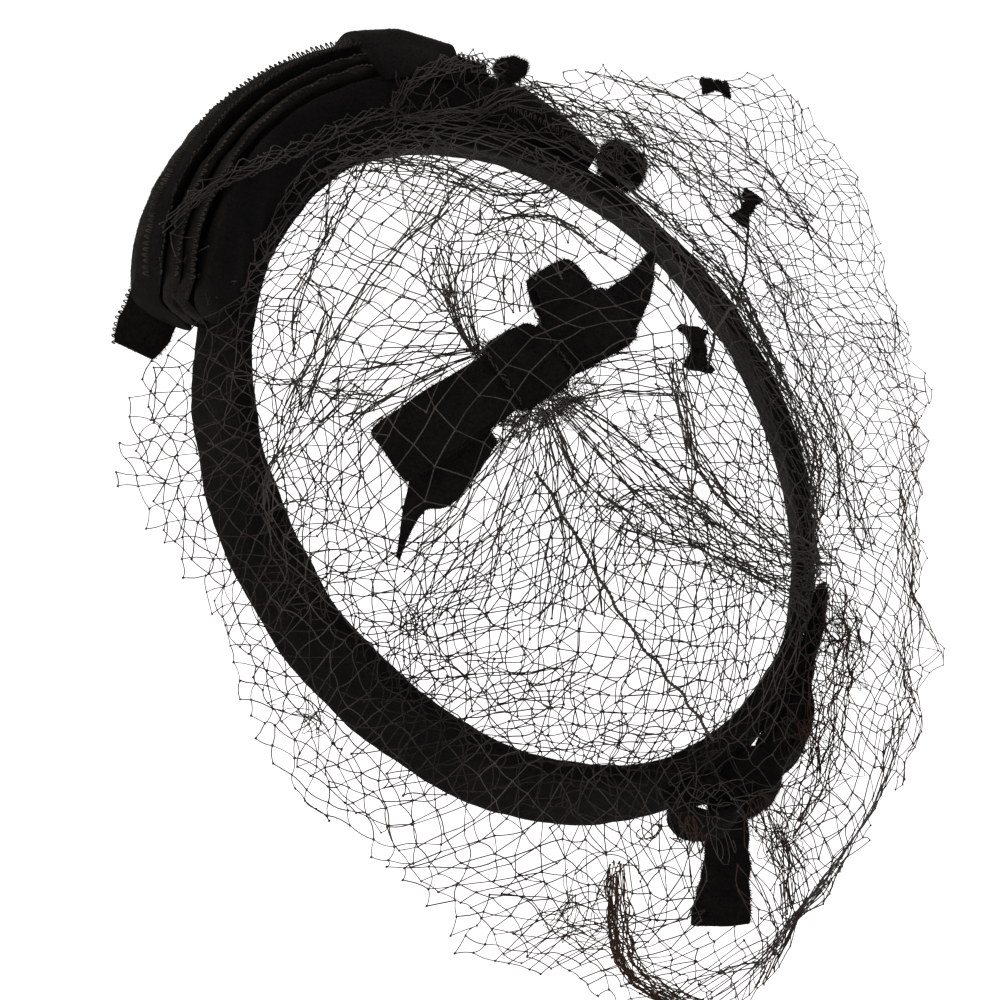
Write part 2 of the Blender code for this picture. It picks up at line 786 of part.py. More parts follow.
def veil_bows(grid, normals):
    """Tiny flat bows on the veil's outer side."""
    outline = [
        # along, across
        (-0.50, -0.30),
        (-0.12, -0.12),
        (0.12, -0.12),
        (0.50, -0.34),
        (0.44, 0.00),
        (0.50, 0.34),
        (0.12, 0.12),
        (-0.12, 0.12),
        (-0.50, 0.30),
        (-0.44, 0.00),
    ]
    angles = np.array([row[0] for row in veil_rows()])
    for number, (angle, row, turn, length) in enumerate(VEIL_BOWS, 1):
        column = int(np.argmin(np.abs(angles - angle)))
        low = int(row)
        share = row - low
        here = grid[column, low] * (1 - share) + grid[column, low + 1] * share
        away = normals[column, low] * (1 - share) + normals[column, low + 1] * share
        away /= np.linalg.norm(away)
        level = np.cross(away, [0.0, 0.0, 1.0])
        if np.linalg.norm(level) < 0.1:
            level = np.array([1.0, 0.0, 0.0])
        level /= np.linalg.norm(level)
        other = np.cross(away, level)
        spin = math.radians(turn)
        long = level * math.cos(spin) + other * math.sin(spin)
        wide = np.cross(away, long)
        points = []
        for lift in (VEIL_THICKNESS / 2 + GAP, VEIL_THICKNESS / 2 + GAP + VEIL_BOW_THICKNESS):
            for a, c in outline:
                points.append(here + long * a * length + wide * c * length + away * lift)
        count = len(outline)
        faces = [tuple(range(count)), tuple(range(2 * count - 1, count - 1, -1))]
        for k in range(count):
            step = (k + 1) % count
            faces.append((k, step, count + step, count + k))
        add_mesh(f"veil_bow_{number}", points, faces, VELVET)


def main():
    clear_scene()
    head_band()
    coronet()
    coronet_trims()
    left_ribbon_end()
    grid = veil_grid()
    normals = veil_normals(grid)
    veil(grid, normals)
    veil_bows(grid, normals)
    crown_bow()
    back_bow()


main()
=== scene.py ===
"""Black velvet bandeau hat: its looks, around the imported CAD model.

The frame is the wearer's: +Z is up, -Y is the front and +X is the wearer's left.

Places on the band are (angle, climb, stand): the angle runs from +X towards +Y round the
oval of the band's lower outer edge, climb is up its leaning face, stand is out from it.
Places on the veil are (p, q): the millimetres from the crown along the cloth, so that
q runs to the back of the head and p to the wearer's left.
"""

import math

import bpy
import numpy as np
from mathutils import Matrix, Vector


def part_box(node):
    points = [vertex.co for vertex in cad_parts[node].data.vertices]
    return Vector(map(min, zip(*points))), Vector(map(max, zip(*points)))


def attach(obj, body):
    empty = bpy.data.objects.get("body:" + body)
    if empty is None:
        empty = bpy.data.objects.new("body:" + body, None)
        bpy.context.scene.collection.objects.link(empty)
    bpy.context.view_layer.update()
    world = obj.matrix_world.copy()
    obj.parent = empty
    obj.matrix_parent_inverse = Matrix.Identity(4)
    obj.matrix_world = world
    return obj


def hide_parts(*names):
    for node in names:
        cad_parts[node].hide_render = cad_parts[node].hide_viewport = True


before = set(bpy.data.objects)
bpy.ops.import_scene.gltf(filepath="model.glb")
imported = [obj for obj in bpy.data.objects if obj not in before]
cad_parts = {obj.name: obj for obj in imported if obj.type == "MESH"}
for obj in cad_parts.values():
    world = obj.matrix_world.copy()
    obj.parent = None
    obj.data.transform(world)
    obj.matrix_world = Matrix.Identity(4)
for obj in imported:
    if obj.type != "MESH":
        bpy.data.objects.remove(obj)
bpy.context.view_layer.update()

MM = 0.001


def placed(name, data):
    """A new object in the scene."""
    made = bpy.data.objects.new(name, data)
    bpy.context.scene.collection.objects.link(made)
    return made


# ---------------------------------------------------------------- camera

CAMERA_AZIMUTH = 108.0
CAMERA_ELEVATION = 63.7
CAMERA_ROLL = 46.2
CAMERA_TARGET = (3.8, 6.5, -18.6)
CAMERA_DISTANCE = 307.0
CAMERA_LENS = 39.34


def add_camera():
    """The camera behind the wearer's left shoulder, above the hat and rolled."""
    azimuth, elevation, roll = (
        math.radians(v) for v in (CAMERA_AZIMUTH, CAMERA_ELEVATION, CAMERA_ROLL)
    )
    flat = math.cos(elevation)
    back = Vector((math.sin(azimuth) * flat, -math.cos(azimuth) * flat, math.sin(elevation)))
    right = (-back).cross(Vector((0.0, 0.0, 1.0))).normalized()
    up = right.cross(-back)
    axes = (
        right * math.cos(roll) + up * math.sin(roll),
        up * math.cos(roll) - right * math.sin(roll),
        back,
    )
    data = bpy.data.cameras.new("camera")
    data.lens = CAMERA_LENS
    data.clip_start = 0.01
    camera = placed("camera", data)
    camera.matrix_world = Matrix(axes).transposed().to_4x4()
    camera.location = (Vector(CAMERA_TARGET) + back * CAMERA_DISTANCE) * MM
    bpy.context.scene.camera = camera


add_camera()


# ---------------------------------------------------------------- curves and places

BAND_HALF_WIDTH = 82.3
BAND_HALF_LENGTH = 98.9
BAND_LEAN = math.radians(28.0)
CURVE_STEPS = 12
WANDER_WAVES = 5
# The waves of wander() add up to about this many times one of them.
WANDER_SUM = 2.2


def catmull(p, q, r, s, t):
    """The point at t between q and r on the curve through p, q, r and s."""
    return 0.5 * (
        2 * q + (r - p) * t + (2 * p - 5 * q + 4 * r - s) * t**2
        + (3 * q - p - 3 * r + s) * t**3
    )


def unit(vectors):
    """The vectors, each one long."""
    size = np.linalg.norm(vectors, axis=-1, keepdims=True)
    return vectors / np.maximum(size, 1e-9)


def full_turn(count):
    """Count angles, evenly spaced round a circle."""
    return np.linspace(0.0, 2 * math.pi, count, endpoint=False)


def step_lengths(line):
    """The distance from each point of a line to the next."""
    return np.linalg.norm(np.diff(line, axis=0), axis=1)


def headings_of(line):
    """The unit direction of a line at each of its points."""
    return unit(np.gradient(line, axis=0))


def nearness(offset, reach):
    """One at no offset, fading smoothly to nothing past the reach."""
    return np.exp(-np.sum(offset**2, axis=1) / reach**2)


def spaced(dense, count, closed):
    """Count evenly spaced points along a dense line."""
    if closed:
        dense = np.vstack([dense, dense[:1]])
    travel = np.concatenate([[0.0], np.cumsum(step_lengths(dense[:, :3]))])
    wanted = np.linspace(0.0, travel[-1], count, endpoint=not closed)
    return np.column_stack([np.interp(wanted, travel, column) for column in dense.T])


def through(rows, count, closed=False):
    """Count points, evenly spaced along a smooth curve through the rows."""
    rows = np.array(rows, float)
    if closed:
        ends = np.vstack([rows[-1:], rows, rows[:2]])
    else:
        ends = np.vstack([2 * rows[0] - rows[1], rows, 2 * rows[-1] - rows[-2]])
    t = np.linspace(0.0, 1.0, CURVE_STEPS, endpoint=False)[:, None]
    spans = [catmull(p, q, r, s, t) for p, q, r, s in zip(ends, ends[1:], ends[2:], ends[3:])]
    dense = np.vstack(spans + ([] if closed else [rows[-1:]]))
    return spaced(dense, count, closed)


def at_angle(table, angle):
    """The columns after the first, read in straight lines between the table's rows."""
    rows = np.array(table, float)
    return [np.interp(angle, rows[:, 0], column) for column in rows.T[1:]]


def around(angle, out, up):
    """The points at angles round the band's lower outer edge."""
    turn = np.radians(angle)
    x = (BAND_HALF_WIDTH + out) * np.cos(turn)
    y = (BAND_HALF_LENGTH + out) * np.sin(turn)
    return np.stack(np.broadcast_arrays(x, y, np.asarray(up, float)), axis=-1)


def on_band(angle, climb, stand):
    """The points at a climb up the band's leaning face and a stand out from it."""
    climb, stand = np.asarray(climb, float), np.asarray(stand, float)
    out = stand * math.cos(BAND_LEAN) - climb * math.sin(BAND_LEAN)
    up = climb * math.cos(BAND_LEAN) + stand * math.sin(BAND_LEAN)
    return around(angle, out, up)


def band_axes(angle):
    """Unit axes at an angle: along the band, out from its face, and up its face."""
    here = on_band(angle, 0.0, 0.0)
    along = on_band(angle + 0.5, 0.0, 0.0) - on_band(angle - 0.5, 0.0, 0.0)
    return [unit(v) for v in (along, on_band(angle, 0, 1) - here, on_band(angle, 1, 0) - here)]


def wander(places, seed, wavelength, amount):
    """A smooth random number at each place, the same on every run."""
    random = np.random.default_rng(seed)
    places = np.asarray(places, float)
    push = np.zeros(places.shape[:-1])
    for _ in range(WANDER_WAVES):
        heading = unit(random.normal(size=places.shape[-1]))
        size = wavelength * random.uniform(0.6, 1.6)
        push += np.sin(places @ heading * 2 * math.pi / size + random.uniform(0, 6.3))
    return push * amount / WANDER_SUM


# ---------------------------------------------------------------- making a piece

FIBRE_TURNS = (0.0, 2.09, 4.19)
FIBRE_WIDTH = 0.055
PILE_LEAN = 0.35


class Piece:
    """The points and faces of one piece, gathered part by part."""

    def __init__(self, name):
        self.name = name
        self.points = []
        self.faces = []
        self.marks = []
        self.count = 0

    def add(self, points, faces, mark=0):
        """Points, with one array of faces for each number of corners."""
        points = np.asarray(points, float).reshape(-1, 3)
        for block in faces:
            self.faces.append(np.asarray(block, np.int64) + self.count)
            self.marks.append(np.full(len(block), mark))
        self.points.append(points)
        self.count += len(points)

    def skin(self, grid, closed=False):
        """A skin over rings of points; the first and last rings are capped if it's open."""
        rings, size, _ = grid.shape
        index = np.arange(rings * size).reshape(rings, size)
        after = np.roll(index, -1, axis=0) if closed else index[1:]
        here = index if closed else index[:-1]
        quads = np.stack(
            [here, np.roll(here, -1, 1), np.roll(after, -1, 1), after], axis=-1
        ).reshape(-1, 4)
        points = grid.reshape(-1, 3)
        blocks = [quads]
        if not closed:
            points = np.vstack([points, grid[0].mean(0), grid[-1].mean(0)])
            first, last = index[0], index[-1]
            low, high = np.full(size, rings * size), np.full(size, rings * size + 1)
            blocks.append(np.stack([np.roll(first, -1), first, low], axis=-1))
            blocks.append(np.stack([last, np.roll(last, -1), high], axis=-1))
        self.add(points, blocks)

    def tubes(self, paths, ups, radius, sides, mark=0, capped=False):
        """A tube along each path; ups point off its line, and only 4 sides can be capped."""
        paths = np.asarray(paths, float)
        many, steps, _ = paths.shape
        ahead = unit(np.gradient(paths, axis=1))
        side = unit(np.cross(ahead, ups))
        top = np.cross(side, ahead)
        turn = 2 * math.pi * (np.arange(sides) + 0.5) / sides
        radius = np.broadcast_to(np.asarray(radius, float), (many, steps))[:, :, None, None]
        ring = side[:, :, None] * np.cos(turn)[:, None] + top[:, :, None] * np.sin(turn)[:, None]
        points = paths[:, :, None] + ring * radius
        index = np.arange(many * steps * sides).reshape(many, steps, sides)
        here, after = index[:, :-1], index[:, 1:]
        quads = np.stack([here, np.roll(here, -1, 2), np.roll(after, -1, 2), after], axis=-1)
        blocks = [quads.reshape(-1, 4)]
        if capped:
            blocks += [index[:, 0][:, ::-1], index[:, -1]]
        self.add(points, blocks, mark)

    def blobs(self, centres, size, seed):
        """A small knot at each centre: an octahedron with uneven corners."""
        random = np.random.default_rng(seed)
        centres = np.asarray(centres, float)
        corners = np.array(
            [(1, 0, 0), (0, 1, 0), (-1, 0, 0), (0, -1, 0), (0, 0, 1), (0, 0, -1)], float
        )
        scale = size * random.uniform(0.75, 1.25, (len(centres), 6, 1))
        points = centres[:, None] + corners * scale
        faces = np.array(
            [(0, 1, 4), (1, 2, 4), (2, 3, 4), (3, 0, 4), (1, 0, 5), (2, 1, 5), (3, 2, 5), (0, 3, 5)]
        )
        index = faces[None] + 6 * np.arange(len(centres))[:, None, None]
        self.add(points, [index.reshape(-1, 3)])

    def spikes(self, roots, headings, length, width, mark=0):
        """A thin closed fibre from each root."""
        roots, headings = np.asarray(roots, float), unit(np.asarray(headings, float))
        length = np.broadcast_to(np.asarray(length, float), (len(roots),))[:, None]
        other = np.where(np.abs(headings[:, 2:]) < 0.8, (0.0, 0.0, 1.0), (1.0, 0.0, 0.0))
        side = unit(np.cross(headings, other))
        top = np.cross(headings, side)
        corners = [roots + headings * length]
        for turn in FIBRE_TURNS:
            corners.append(roots + (side * math.cos(turn) + top * math.sin(turn)) * width)
        points = np.stack(corners, axis=1)
        faces = np.array([(0, 1, 2), (0, 2, 3), (0, 3, 1), (3, 2, 1)])
        index = faces[None] + 4 * np.arange(len(roots))[:, None, None]
        self.add(points, [index.reshape(-1, 3)], mark)

    def finish(self, *materials, slot, nodes=()):
        """The Blender object, riding on the hat and standing for the CAD nodes."""
        mesh = bpy.data.meshes.new(self.name)
        points = np.vstack(self.points)
        mesh.vertices.add(len(points))
        mesh.vertices.foreach_set("co", (points * MM).ravel())
        corners = np.concatenate([block.ravel() for block in self.faces])
        sizes = np.concatenate([np.full(len(b), b.shape[1]) for b in self.faces])
        mesh.loops.add(len(corners))
        mesh.loops.foreach_set("vertex_index", corners)
        mesh.polygons.add(len(sizes))
        mesh.polygons.foreach_set("loop_start", np.concatenate([[0], np.cumsum(sizes)[:-1]]))
        for material in materials:
            mesh.materials.append(material)
        mesh.polygons.foreach_set("material_index", np.concatenate(self.marks))
        mesh.update(calc_edges=True)
        mesh.validate()
        mesh.shade_smooth()
        made = placed(self.name, mesh)
        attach(made, "root")
        if nodes:
            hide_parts(*nodes)
        return made


def ahead_of(rows, closed):
    """The direction from row to row, through each row and its neighbours."""
    if closed:
        return np.roll(rows, -1, axis=0) - np.roll(rows, 1, axis=0)
    return np.gradient(rows, axis=0)


def grid_normals(grid, closed):
    """Unit normals of a grid of rings, whose rings are closed."""
    around_it = np.roll(grid, -1, axis=1) - np.roll(grid, 1, axis=1)
    normals = unit(np.cross(around_it, ahead_of(grid, closed)))
    centre = grid.mean(axis=1, keepdims=True)
    outward = np.sign(np.sum(normals * (grid - centre), axis=(1, 2)).sum())
    return normals * (outward or 1.0)


def roughen(grid, closed, seed, wavelength, amount):
    """The grid, pushed in and out a little, as hand-sewn velvet is."""
    push = wander(grid, seed, wavelength, amount)
    return grid + grid_normals(grid, closed) * push[..., None]


def pile(piece, grid, closed, many, length, seed, mark=1, width=FIBRE_WIDTH):
    """Fibres standing on a grid's surface, more or less upright."""
    random = np.random.default_rng(seed)
    normals = grid_normals(grid, closed)
    rings, size, _ = grid.shape
    after = np.roll(grid, -1, axis=0) if closed else np.vstack([grid[1:], grid[-1:]])
    area = np.linalg.norm(after - grid, axis=2) * np.linalg.norm(
        np.roll(grid, -1, axis=1) - grid, axis=2
    )
    picks = random.choice(rings * size, many, p=(area / area.sum()).ravel())
    row, column = np.divmod(picks, size)
    a, b = random.random((2, many, 1))
    here = grid[row, column]
    beside = np.roll(grid, -1, 1)[row, column]
    roots = here + (after[row, column] - here) * a + (beside - here) * b
    headings = normals[row, column] + random.normal(0.0, PILE_LEAN, (many, 3))
    piece.spikes(roots, headings, length * random.uniform(0.5, 1.3, many), width, mark)


# ---------------------------------------------------------------- materials


def fibre_material(name, dark, light, patch, grain, bump, roughness, sheen):
    """A textile: colour that varies in patches and in its grain, and a fibrous relief."""
    made = bpy.data.materials.new(name)
    made.use_nodes = True
    nodes, links = made.node_tree.nodes, made.node_tree.links
    shader = nodes["Principled BSDF"]
    shader.inputs["Roughness"].default_value = roughness
    shader.inputs["Specular IOR Level"].default_value = 0.05
    shader.inputs["Sheen Weight"].default_value = sheen
    shader.inputs["Sheen Roughness"].default_value = 0.42
    shader.inputs["Sheen Tint"].default_value = (0.55, 0.48, 0.42, 1.0)
    place = nodes.new("ShaderNodeTexCoord").outputs["Object"]
    noises = []
    for scale, detail in ((patch, 3.0), (grain, 4.0)):
        noise = nodes.new("ShaderNodeTexNoise")
        noise.inputs["Scale"].default_value = scale
        noise.inputs["Detail"].default_value = detail
        links.new(place, noise.inputs["Vector"])
        noises.append(noise.outputs["Fac"])
    both = nodes.new("ShaderNodeMath")
    both.operation = "MULTIPLY"
    links.new(noises[0], both.inputs[0])
    links.new(noises[1], both.inputs[1])
    ramp = nodes.new("ShaderNodeValToRGB")
    ramp.color_ramp.elements[0].position = 0.14
    ramp.color_ramp.elements[0].color = (*dark, 1.0)
    ramp.color_ramp.elements[1].position = 0.42
    ramp.color_ramp.elements[1].color = (*light, 1.0)
    links.new(both.outputs["Value"], ramp.inputs["Fac"])
    links.new(ramp.outputs["Color"], shader.inputs["Base Color"])
    relief = nodes.new("ShaderNodeBump")
    relief.inputs["Strength"].default_value = bump
    relief.inputs["Distance"].default_value = 0.0003
    links.new(noises[1], relief.inputs["Height"])
    links.new(relief.outputs["Normal"], shader.inputs["Normal"])
    return made


# The colours are linear; patch and grain are the scales of the two noises.
VELVET, PILE, RIBBED, PICOT, PAINTED_LIT_THREAD, DARK_THREAD, BROWN_THREAD = (
    fibre_material(*row) for row in (
        # name, dark, light, patch, grain, bump, roughness, sheen
        ("black_velvet", (0.0011, 0.0010, 0.0009), (0.0042, 0.0037, 0.0034),
         70, 1500, 0.5, 0.95, 0.012),
        ("velvet_pile", (0.0014, 0.0012, 0.0011), (0.0078, 0.0066, 0.0058),
         90, 2500, 0.2, 0.95, 0.01),
        ("ribbed_ribbon", (0.0020, 0.0016, 0.0014), (0.0110, 0.0092, 0.0078),
         60, 1800, 0.6, 0.90, 0.02),
        ("picot_thread", (0.0060, 0.0050, 0.0042), (0.0300, 0.0250, 0.0210),
         120, 2500, 0.3, 0.80, 0.02),
        # This thread is the net's own dark thread painted lighter: a painted highlight for the
        # light from above that catches the net over the black velvet.
        ("net_thread_painted_lit", (0.0100, 0.0086, 0.0080), (0.0430, 0.0365, 0.0330),
         45, 2200, 0.3, 0.70, 0.02),
        ("dark_net_thread", (0.0045, 0.0038, 0.0036), (0.0190, 0.0150, 0.0135),
         45, 2200, 0.3, 0.70, 0.02),
        ("brown_thread", (0.0080, 0.0043, 0.0032), (0.0340, 0.0165, 0.0110),
         60, 2200, 0.3, 0.70, 0.02),
    )
)


# ---------------------------------------------------------------- head band

BAND_SECTION = [
    # climb, stand
    (-0.6, 0),
    (4, 0.25),
    (9.8, 0.35),
    (16, 0.2),
    (18.6, -0.1),
    (19.7, -1.4),
    (19.5, -3.4),
    (18, -4.7),
    (9, -4.8),
    (0, -4.8),
    (-1.5, -3.6),
    (-1.5, -1.2),
]


BAND_TOP_EDGE = 17.0


def head_band():
    """The velvet-covered oval pad and its pile, which is longer along its top edge."""
    piece = Piece("band_velvet")
    section = through(BAND_SECTION, 56, closed=True)
    angles = np.linspace(0.0, 360.0, 420, endpoint=False)
    grid = on_band(angles[:, None], section[None, :, 0], section[None, :, 1])
    grid = roughen(grid, True, 11, 26.0, 0.30)
    grid = roughen(grid, True, 12, 5.0, 0.10)
    piece.skin(grid, closed=True)
    made = piece.finish(VELVET, slot="velvet", nodes=("head_band",))
    fuzz = Piece("band_pile")
    pile(fuzz, grid, True, 9000, 0.75, 13, mark=0)
    edge = grid[:, section[:, 0] > BAND_TOP_EDGE]
    pile(fuzz, edge, True, 4500, 1.15, 14, mark=0)
    fuzz.finish(PILE, slot="velvet")


# ---------------------------------------------------------------- coronet

# Thickness of the folded ribbon, of the bows' loops and of the two inner tiers.
RIBBON = 1.6
LOOP_RIBBON = 2.2
TIER = 2.4
# Points along each side of a tier's section.
TIER_POINTS = 30
CORONET_LEFT = 323.0
CORONET_RIGHT = 248.0
FOLD_RIGHT = 255.0
FOLD_LEFT = 271.0
END_RIGHT = 225.0
END_LEFT = 247.3
CORONET_SHAPE = [
    # angle, flare, rise
    (248, 0.70, 0.88),
    (256, 0.78, 0.95),
    (264, 0.90, 1.00),
    (278, 0.96, 1.00),
    (296, 1.00, 1.00),
    (312, 1.00, 1.00),
    (318, 0.97, 0.98),
    (323, 0.88, 0.92),
]
END_SHAPE = [
    # angle, flare, rise
    (225, 0.55, 0.80),
    (232, 0.74, 0.90),
    (240, 0.94, 0.98),
    (247.3, 1.00, 1.00),
]

# Sections of the coronet, each as rows of (climb, stand).
BASE_INNER = [(11.5, -0.8), (17.0, -1.2), (21.0, 2.6), (24.8, 8.4), (27.4, 14.0)]
BASE_OUTER = [(8.9, 1.2), (11.0, 6.6), (14.0, 10.6), (18.8, 13.4), (26.2, 15.6)]
INNER_TIER = [(7.2, 2.0), (8.7, 8.2), (12.0, 13.1), (17.4, 16.3), (25.2, 18.2)]
MIDDLE_TIER = [(4.3, 2.6), (5.9, 9.4), (9.6, 15.6), (15.8, 19.2), (23.2, 21.3)]
ROLL_INNER = [(2.4, 3.2), (3.9, 10.6), (8.2, 17.6), (14.8, 21.3), (20.4, 23.6)]
ROLL_OUTER = [(-0.6, 3.0), (-2.0, 12.0), (1.6, 21.6), (10.5, 26.2), (20.8, 25.4)]
FOLD = [
    (29.6, 13.4), (28.9, 17.2), (25.6, 22.2), (22.3, 26.6), (15, 28.2), (6.5, 27.4),
    (1, 24.4),
]
END_INNER = [(3.0, 1.3), (10.0, 1.4), (17.5, 1.3), (22.5, 3.8)]
END_OUTER = [(3.2, 4.6), (7.6, 12.6), (15.6, 15.4), (25.0, 9.6)]
RIB_PITCH = 1.25
PICOT_PITCH = 1.4
PICOT_LENGTH = 1.3
PICOT_THREAD = 0.2
PICOT_SUNK = 0.25


def two_sided(line, thickness):
    """The two sides of a ribbon seen edge on."""
    along = headings_of(np.array(line, float))
    off = np.column_stack([-along[:, 1], along[:, 0]]) * thickness / 2
    return line + off, line - off


def tier_section(one_side, other_side, ribs):
    """A closed section between two sides, with rounded edges and ribbed faces."""
    middle, half = (one_side + other_side) / 2, (one_side - other_side) / 2
    share = np.linspace(-1.0, 1.0, TIER_POINTS)[:, None]
    full = np.sqrt(np.maximum(1.0 - share**10, 0.02))
    travel = np.concatenate([[0.0], np.cumsum(step_lengths(middle))])[:, None]
    rib = ribs * np.sin(2 * math.pi * travel / RIB_PITCH) * unit(half)
    return np.vstack([middle + half * full + rib, (middle - half * full - rib)[::-1]])


def tier_rings(section, angles, shape, seed):
    """The section carried round the band, flared and raised by the table, not quite evenly."""
    flare, rise = at_angle(shape, angles)
    sway = wander(np.column_stack([angles, angles * 0.0]), seed, 26.0, 0.22)
    climb = section[None, :, 0] * rise[:, None] + sway[:, None]
    stand = section[None, :, 1] * flare[:, None] + sway[::-1, None] * 0.6
    return on_band(angles[:, None], climb, stand)


def picots(piece, tops, unders, seed, mark=0, length=PICOT_LENGTH):
    """A row of small thread loops along a ribbon's edge."""
    random = np.random.default_rng(seed)
    count = int(step_lengths(tops).sum() / PICOT_PITCH)
    line = spaced(np.hstack([tops, tops - unders]), count, closed=False)
    rise = unit(line[:, 3:])
    places = line[:, :3] - rise * PICOT_SUNK
    along = headings_of(places)
    turn = np.linspace(0.0, math.pi, 7)
    tall = (length + PICOT_SUNK) * random.uniform(0.9, 1.1, (count, 1, 1))
    lean = along * random.normal(0.25, 0.08, (count, 1))
    lean = lean + np.cross(along, rise) * random.normal(0.0, 0.12, (count, 1))
    loops = (
        places[:, None]
        - along[:, None] * np.cos(turn)[:, None] * PICOT_PITCH * 0.25
        + (rise + lean)[:, None] * np.sin(turn)[:, None] * tall
    )
    piece.tubes(loops, np.cross(along, rise)[:, None], PICOT_THREAD, 4, mark, capped=True)


def both(*lines):
    """The two sides of a tier, each a smooth line through its table."""
    return [through(line, TIER_POINTS) for line in lines]


def tier(name, node, sides, angles, shape, ribs, seed, material, fuzz, edges):
    """One tier of the coronet, and apart from it the loops on its edges and its pile."""
    grid = tier_rings(tier_section(*sides, ribs), angles, shape, seed)
    grid = roughen(grid, False, seed + 1, 9.0, 0.16)
    body = Piece(name)
    body.skin(grid)
    made = body.finish(material, slot="velvet", nodes=(node,))
    trim = Piece(f"{name}_edge")
    under = grid[:, TIER_POINTS - 4]
    if "top" in edges:
        picots(trim, grid[:, TIER_POINTS - 1], under, seed + 2)
    if "rim" in edges:
        picots(trim, grid[:, TIER_POINTS + 3], under, seed + 6)
    pile(trim, grid, False, fuzz, 0.6, seed + 4)
    return made, [trim.finish(PICOT, PILE, slot="velvet")]


def coronet():
    """The nested ribbons on the front of the band."""
    fine = np.linspace(CORONET_RIGHT, CORONET_LEFT, 210)
    sides = both(BASE_INNER, BASE_OUTER)
    base, _ = tier(
        "coronet_pad", "coronet_base", sides, fine, CORONET_SHAPE, 0.0, 21, VELVET, 5200, ()
    )
    for name, node, line, seed in (
        ("inner_ribbon", "coronet_ribbon_inner", INNER_TIER, 31),
        ("middle_ribbon", "coronet_ribbon_middle", MIDDLE_TIER, 41),
    ):
        sides = two_sided(through(line, TIER_POINTS), TIER)
        made, trims = tier(
            name, node, sides, fine, CORONET_SHAPE, 0.13, seed, RIBBED, 2200, ("top",)
        )
    sides = both(ROLL_INNER, ROLL_OUTER)
    roll, _ = tier(
        "coronet_roll_velvet", "coronet_roll", sides, fine, CORONET_SHAPE, 0.0, 51, VELVET,
        7000, ("top", "rim"),
    )
    sides = two_sided(through(FOLD, TIER_POINTS), RIBBON)
    angles = np.linspace(FOLD_RIGHT, FOLD_LEFT, 44)
    made, trims = tier(
        "ribbon_fold", "coronet_fold", sides, angles, CORONET_SHAPE, 0.04, 61, VELVET, 1400, ()
    )
    sides = both(END_INNER, END_OUTER)
    angles = np.linspace(END_RIGHT, END_LEFT, 64)
    end, _ = tier(
        "coronet_end", "coronet_ribbon_end", sides, angles, END_SHAPE, 0.05, 71, VELVET, 2600,
        ("top",),
    )


# ---------------------------------------------------------------- knots and ribbons

# Points round a ribbon's section, and those of them that lie at its two edges.
RIBBON_POINTS = 52
EDGE_POINTS = [*range(23, 30), *range(49, 52), *range(4)]
# A knot's rings, from one rounded tip to the other.
ROUND_TIP = math.pi / 2 - 0.06
KNOT_RINGS = 26
KNOT_SIDES = 44


def bulge(value, power):
    """Sines or cosines to a power: below one, a circle of them swells into a block."""
    return np.sign(value) * np.abs(value) ** power


def pillow_grid(centre, axes, halves, power):
    """Rings of a rounded block, from its low end to its high end along the third axis."""
    tip = np.linspace(-ROUND_TIP, ROUND_TIP, KNOT_RINGS)[:, None]
    turn = full_turn(KNOT_SIDES)[None, :]
    parts = (
        bulge(np.cos(tip), power) * bulge(np.cos(turn), power),
        bulge(np.cos(tip), power) * bulge(np.sin(turn), power),
        bulge(np.sin(tip), power) * np.ones_like(turn),
    )
    return centre + sum(p[..., None] * a * h for p, a, h in zip(parts, axes, halves))


def knot(name, node, centre, axes, halves, power, seed, fuzz, length, lumps=0.35):
    """A padded velvet knot or ball with its pile."""
    grid = pillow_grid(centre, axes, np.array(halves) - lumps * 0.5, power)
    grid = roughen(grid, False, seed, 7.0, lumps)
    grid = roughen(grid, False, seed + 1, 2.4, lumps * 0.4)
    body = Piece(name)
    body.skin(grid)
    pile(body, grid, False, fuzz, length, seed + 2)
    made = body.finish(VELVET, PILE, slot="velvet", nodes=(node,))


def ribbon_section():
    """How far across and how far through the ribbon each point of its section is."""
    turn = full_turn(RIBBON_POINTS)
    return bulge(np.cos(turn), 0.75), bulge(np.sin(turn), 0.35)


def ribbon_grid(path, across, halves, thickness, closed, pleats, squeeze, seed):
    """A ribbon along a path: its section is flat with round edges, pleated near a knot."""
    path = np.asarray(path, float)
    ahead = unit(ahead_of(path, closed))
    across = np.broadcast_to(across, path.shape)
    wide = unit(across - ahead * np.sum(across * ahead, axis=1, keepdims=True))
    face = np.cross(ahead, wide)
    x, y = ribbon_section()
    halves = np.broadcast_to(halves, len(path))[:, None]
    squeeze = np.broadcast_to(squeeze, len(path))[:, None]
    creases = np.sin(x[None, :] * math.pi * pleats + seed) * squeeze
    width = halves * (1.0 - 0.22 * squeeze)
    off = y[None, :] * thickness / 2 + creases * 0.7
    return path[:, None] + wide[:, None] * (x * width)[..., None] + face[:, None] * off[..., None]


def add_ribbon(
    name, node, grid, closed, seed, fuzz, edges=(), pleat=None
):
    """A velvet ribbon from its grid, with pile on its faces and more along its edges.

    A row of picot loops runs along each point of the section that edges names.
    """
    grid = roughen(grid, closed, seed, 8.0, 0.16)
    body = Piece(name)
    body.skin(grid, closed)
    if pleat is not None:
        body.skin(roughen(pleat, False, seed + 5, 8.0, 0.16))
    made = body.finish(VELVET, slot="velvet", nodes=(node,))
    trim = Piece(f"{name}_pile")
    pile(trim, grid, closed, fuzz // 2, 0.7, seed + 1, mark=0)
    pile(trim, grid[:, EDGE_POINTS], closed, fuzz, 1.35, seed + 2, mark=0, width=0.07)
    for point in edges:
        under = grid[:, (point + RIBBON_POINTS // 4) % RIBBON_POINTS]
        picots(trim, grid[:, point], under, seed + 3, mark=1, length=0.7)
    trims = [trim.finish(PILE, PICOT, slot="velvet")]


# ---------------------------------------------------------------- the veil's surface

